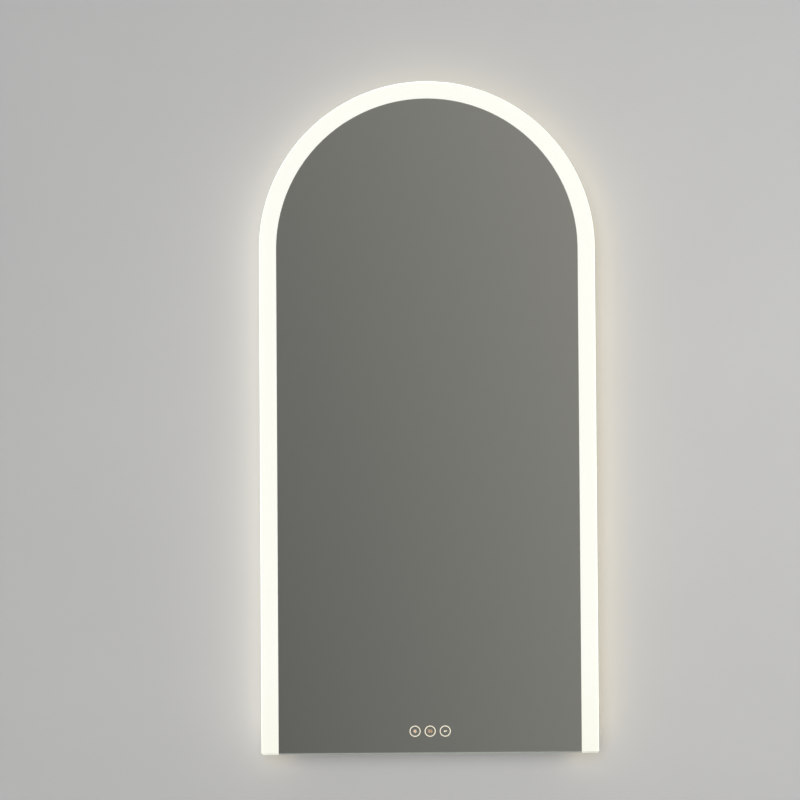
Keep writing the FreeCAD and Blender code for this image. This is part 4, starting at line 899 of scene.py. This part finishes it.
# The strip's light on the wall, from narrow lamps that lie on the cover all the way round. It is
# warmer to the right, and weaker over the arch and at the foot.
halo = {
    "inset": 0.0155, "depth": 0.031, "width": 0.006, "bends": 16, "radiance": 11.9,
    "fall": 0.12, "left": "#FFF6DC", "right": "#FFE9B2",
    "start": 0.006,  # lowest lamp above the foot of the glass
    # light that leaves past the end caps: inset, depth, height above the foot, length
    "footLeak": (0.022, 0.022, 0.003, 0.036),
}
leftTint, rightTint = Vector(linear(halo["left"])[:3]), Vector(linear(halo["right"])[:3])
haloRadius = halfWidth - halo["inset"]


def haloLamp(name, place, outward, length):
    share = ((outward.x + 1) / 2) ** 0.5
    radiance = halo["radiance"] * (1 - halo["fall"] * outward.z ** 2)
    depthWay = Vector((0, 1, 0))
    addLamp(name, "AREA", place, (depthWay.cross(-outward), depthWay, -outward), {
        "shape": "RECTANGLE", "size": length, "size_y": halo["width"],
        "energy": radiance * math.pi * length * halo["width"],
        "color": leftTint.lerp(rightTint, share)})


sideLength = archZ - footZ - halo["start"]
for sign in (-1, 1):
    haloLamp("haloSide", (sign * haloRadius, -halo["depth"], archZ - sideLength / 2),
             Vector((sign, 0, 0)), sideLength)
for k in range(halo["bends"]):
    angle = math.pi * (k + 0.5) / halo["bends"]
    outward = Vector((math.cos(angle), 0, math.sin(angle)))
    haloLamp("haloBend", (haloRadius * outward.x, -halo["depth"], archZ + haloRadius * outward.z),
             outward, math.pi * haloRadius / halo["bends"])
leakInset, leakDepth, leakRise, leakLength = halo["footLeak"]
for sign in (-1, 1):
    haloLamp("haloFoot", (sign * (halfWidth - leakInset), -leakDepth, footZ + leakRise),
             Vector((0, 0, -1)), leakLength)

# The room that the mirror sees: dim and olive grey ahead of it, darker to the left and below,
# light behind. The camera itself sees a pale background. Directions are parts of one.
roomLook = {
    "left": "#666463", "right": "#97948F", "behind": "#D8D8D5",
    "camera": "#D6D5D1", "light": "#F4F5F7",
    "slant": 0.28, "ramp": (-0.14, 0.24),  # share of height in the ramp, and its two ends
    "turn": (-0.45, 0.3),  # where the room ahead ends and the one behind begins
}
world = bpy.data.worlds.new("studioRoom")
world.use_nodes = True
bpy.context.scene.world = world
tree = world.node_tree
tree.nodes.clear()
heading = addNode(tree, "TexCoord")
parts = addNode(tree, "SeparateXYZ", {}, {0: heading.outputs["Generated"]})
slant = addNode(tree, "Math", {"operation": "MULTIPLY_ADD", 1: roomLook["slant"]},
                {0: parts.outputs["Z"], 2: parts.outputs["X"]})
ramp = addNode(tree, "MapRange", {"From Min": roomLook["ramp"][0],
                                  "From Max": roomLook["ramp"][1]}, {0: slant.outputs[0]})
ahead = addNode(tree, "MixRGB", {"Color1": linear(roomLook["left"]),
                                 "Color2": linear(roomLook["right"])}, {"Fac": ramp.outputs[0]})
turnBack = addNode(tree, "MapRange", {"From Min": roomLook["turn"][0],
                                      "From Max": roomLook["turn"][1]},
                   {0: parts.outputs["Y"]})
room = addNode(tree, "MixRGB", {"Color2": linear(roomLook["behind"])},
               {"Fac": turnBack.outputs[0], "Color1": ahead.outputs[0]})
rays = addNode(tree, "LightPath")
mirrored = addNode(tree, "Math", {"operation": "MAXIMUM"},
                   {0: rays.outputs["Is Glossy Ray"], 1: rays.outputs["Is Transmission Ray"]})
even = addNode(tree, "Background", {"Color": linear(roomLook["light"]),
                                    "Strength": studio["ambient"]})
seen = addNode(tree, "Background", {"Strength": 1.0}, {"Color": room.outputs[0]})
pale = addNode(tree, "Background", {"Color": linear(roomLook["camera"]), "Strength": 1.0})
offCamera = addNode(tree, "MixShader", {}, {0: mirrored.outputs[0], 1: even.outputs[0],
                                            2: seen.outputs[0]})
around = addNode(tree, "MixShader", {}, {0: rays.outputs["Is Camera Ray"],
                                         1: offCamera.outputs[0], 2: pale.outputs[0]})
addNode(tree, "OutputWorld", {}, {"Surface": around.outputs[0]})
print("studio made")

# Camera at the photograph's place: in front of the mirror's middle, 48 mm to its left, and
# tilted up by one degree. Angles in radians.
view = {"spot": (-0.0477, -2.5, -0.179), "lens": 74.45, "up": 0.01767, "turn": -0.0025,
        "lean": 0.00662}
cameraData = bpy.data.cameras.new("camera")
cameraData.lens = view["lens"]
cameraData.sensor_width = 36
camera = bpy.data.objects.new("camera", cameraData)
camera.location = view["spot"]
camera.rotation_euler = (Matrix.Rotation(view["turn"], 3, "Z")
                         @ Matrix.Rotation(math.pi / 2 + view["up"], 3, "X")
                         @ Matrix.Rotation(-view["lean"], 3, "Z")).to_euler()
bpy.context.scene.collection.objects.link(camera)
bpy.context.scene.camera = camera
bpy.context.scene.view_settings.view_transform = "Standard"

print("scene ready")
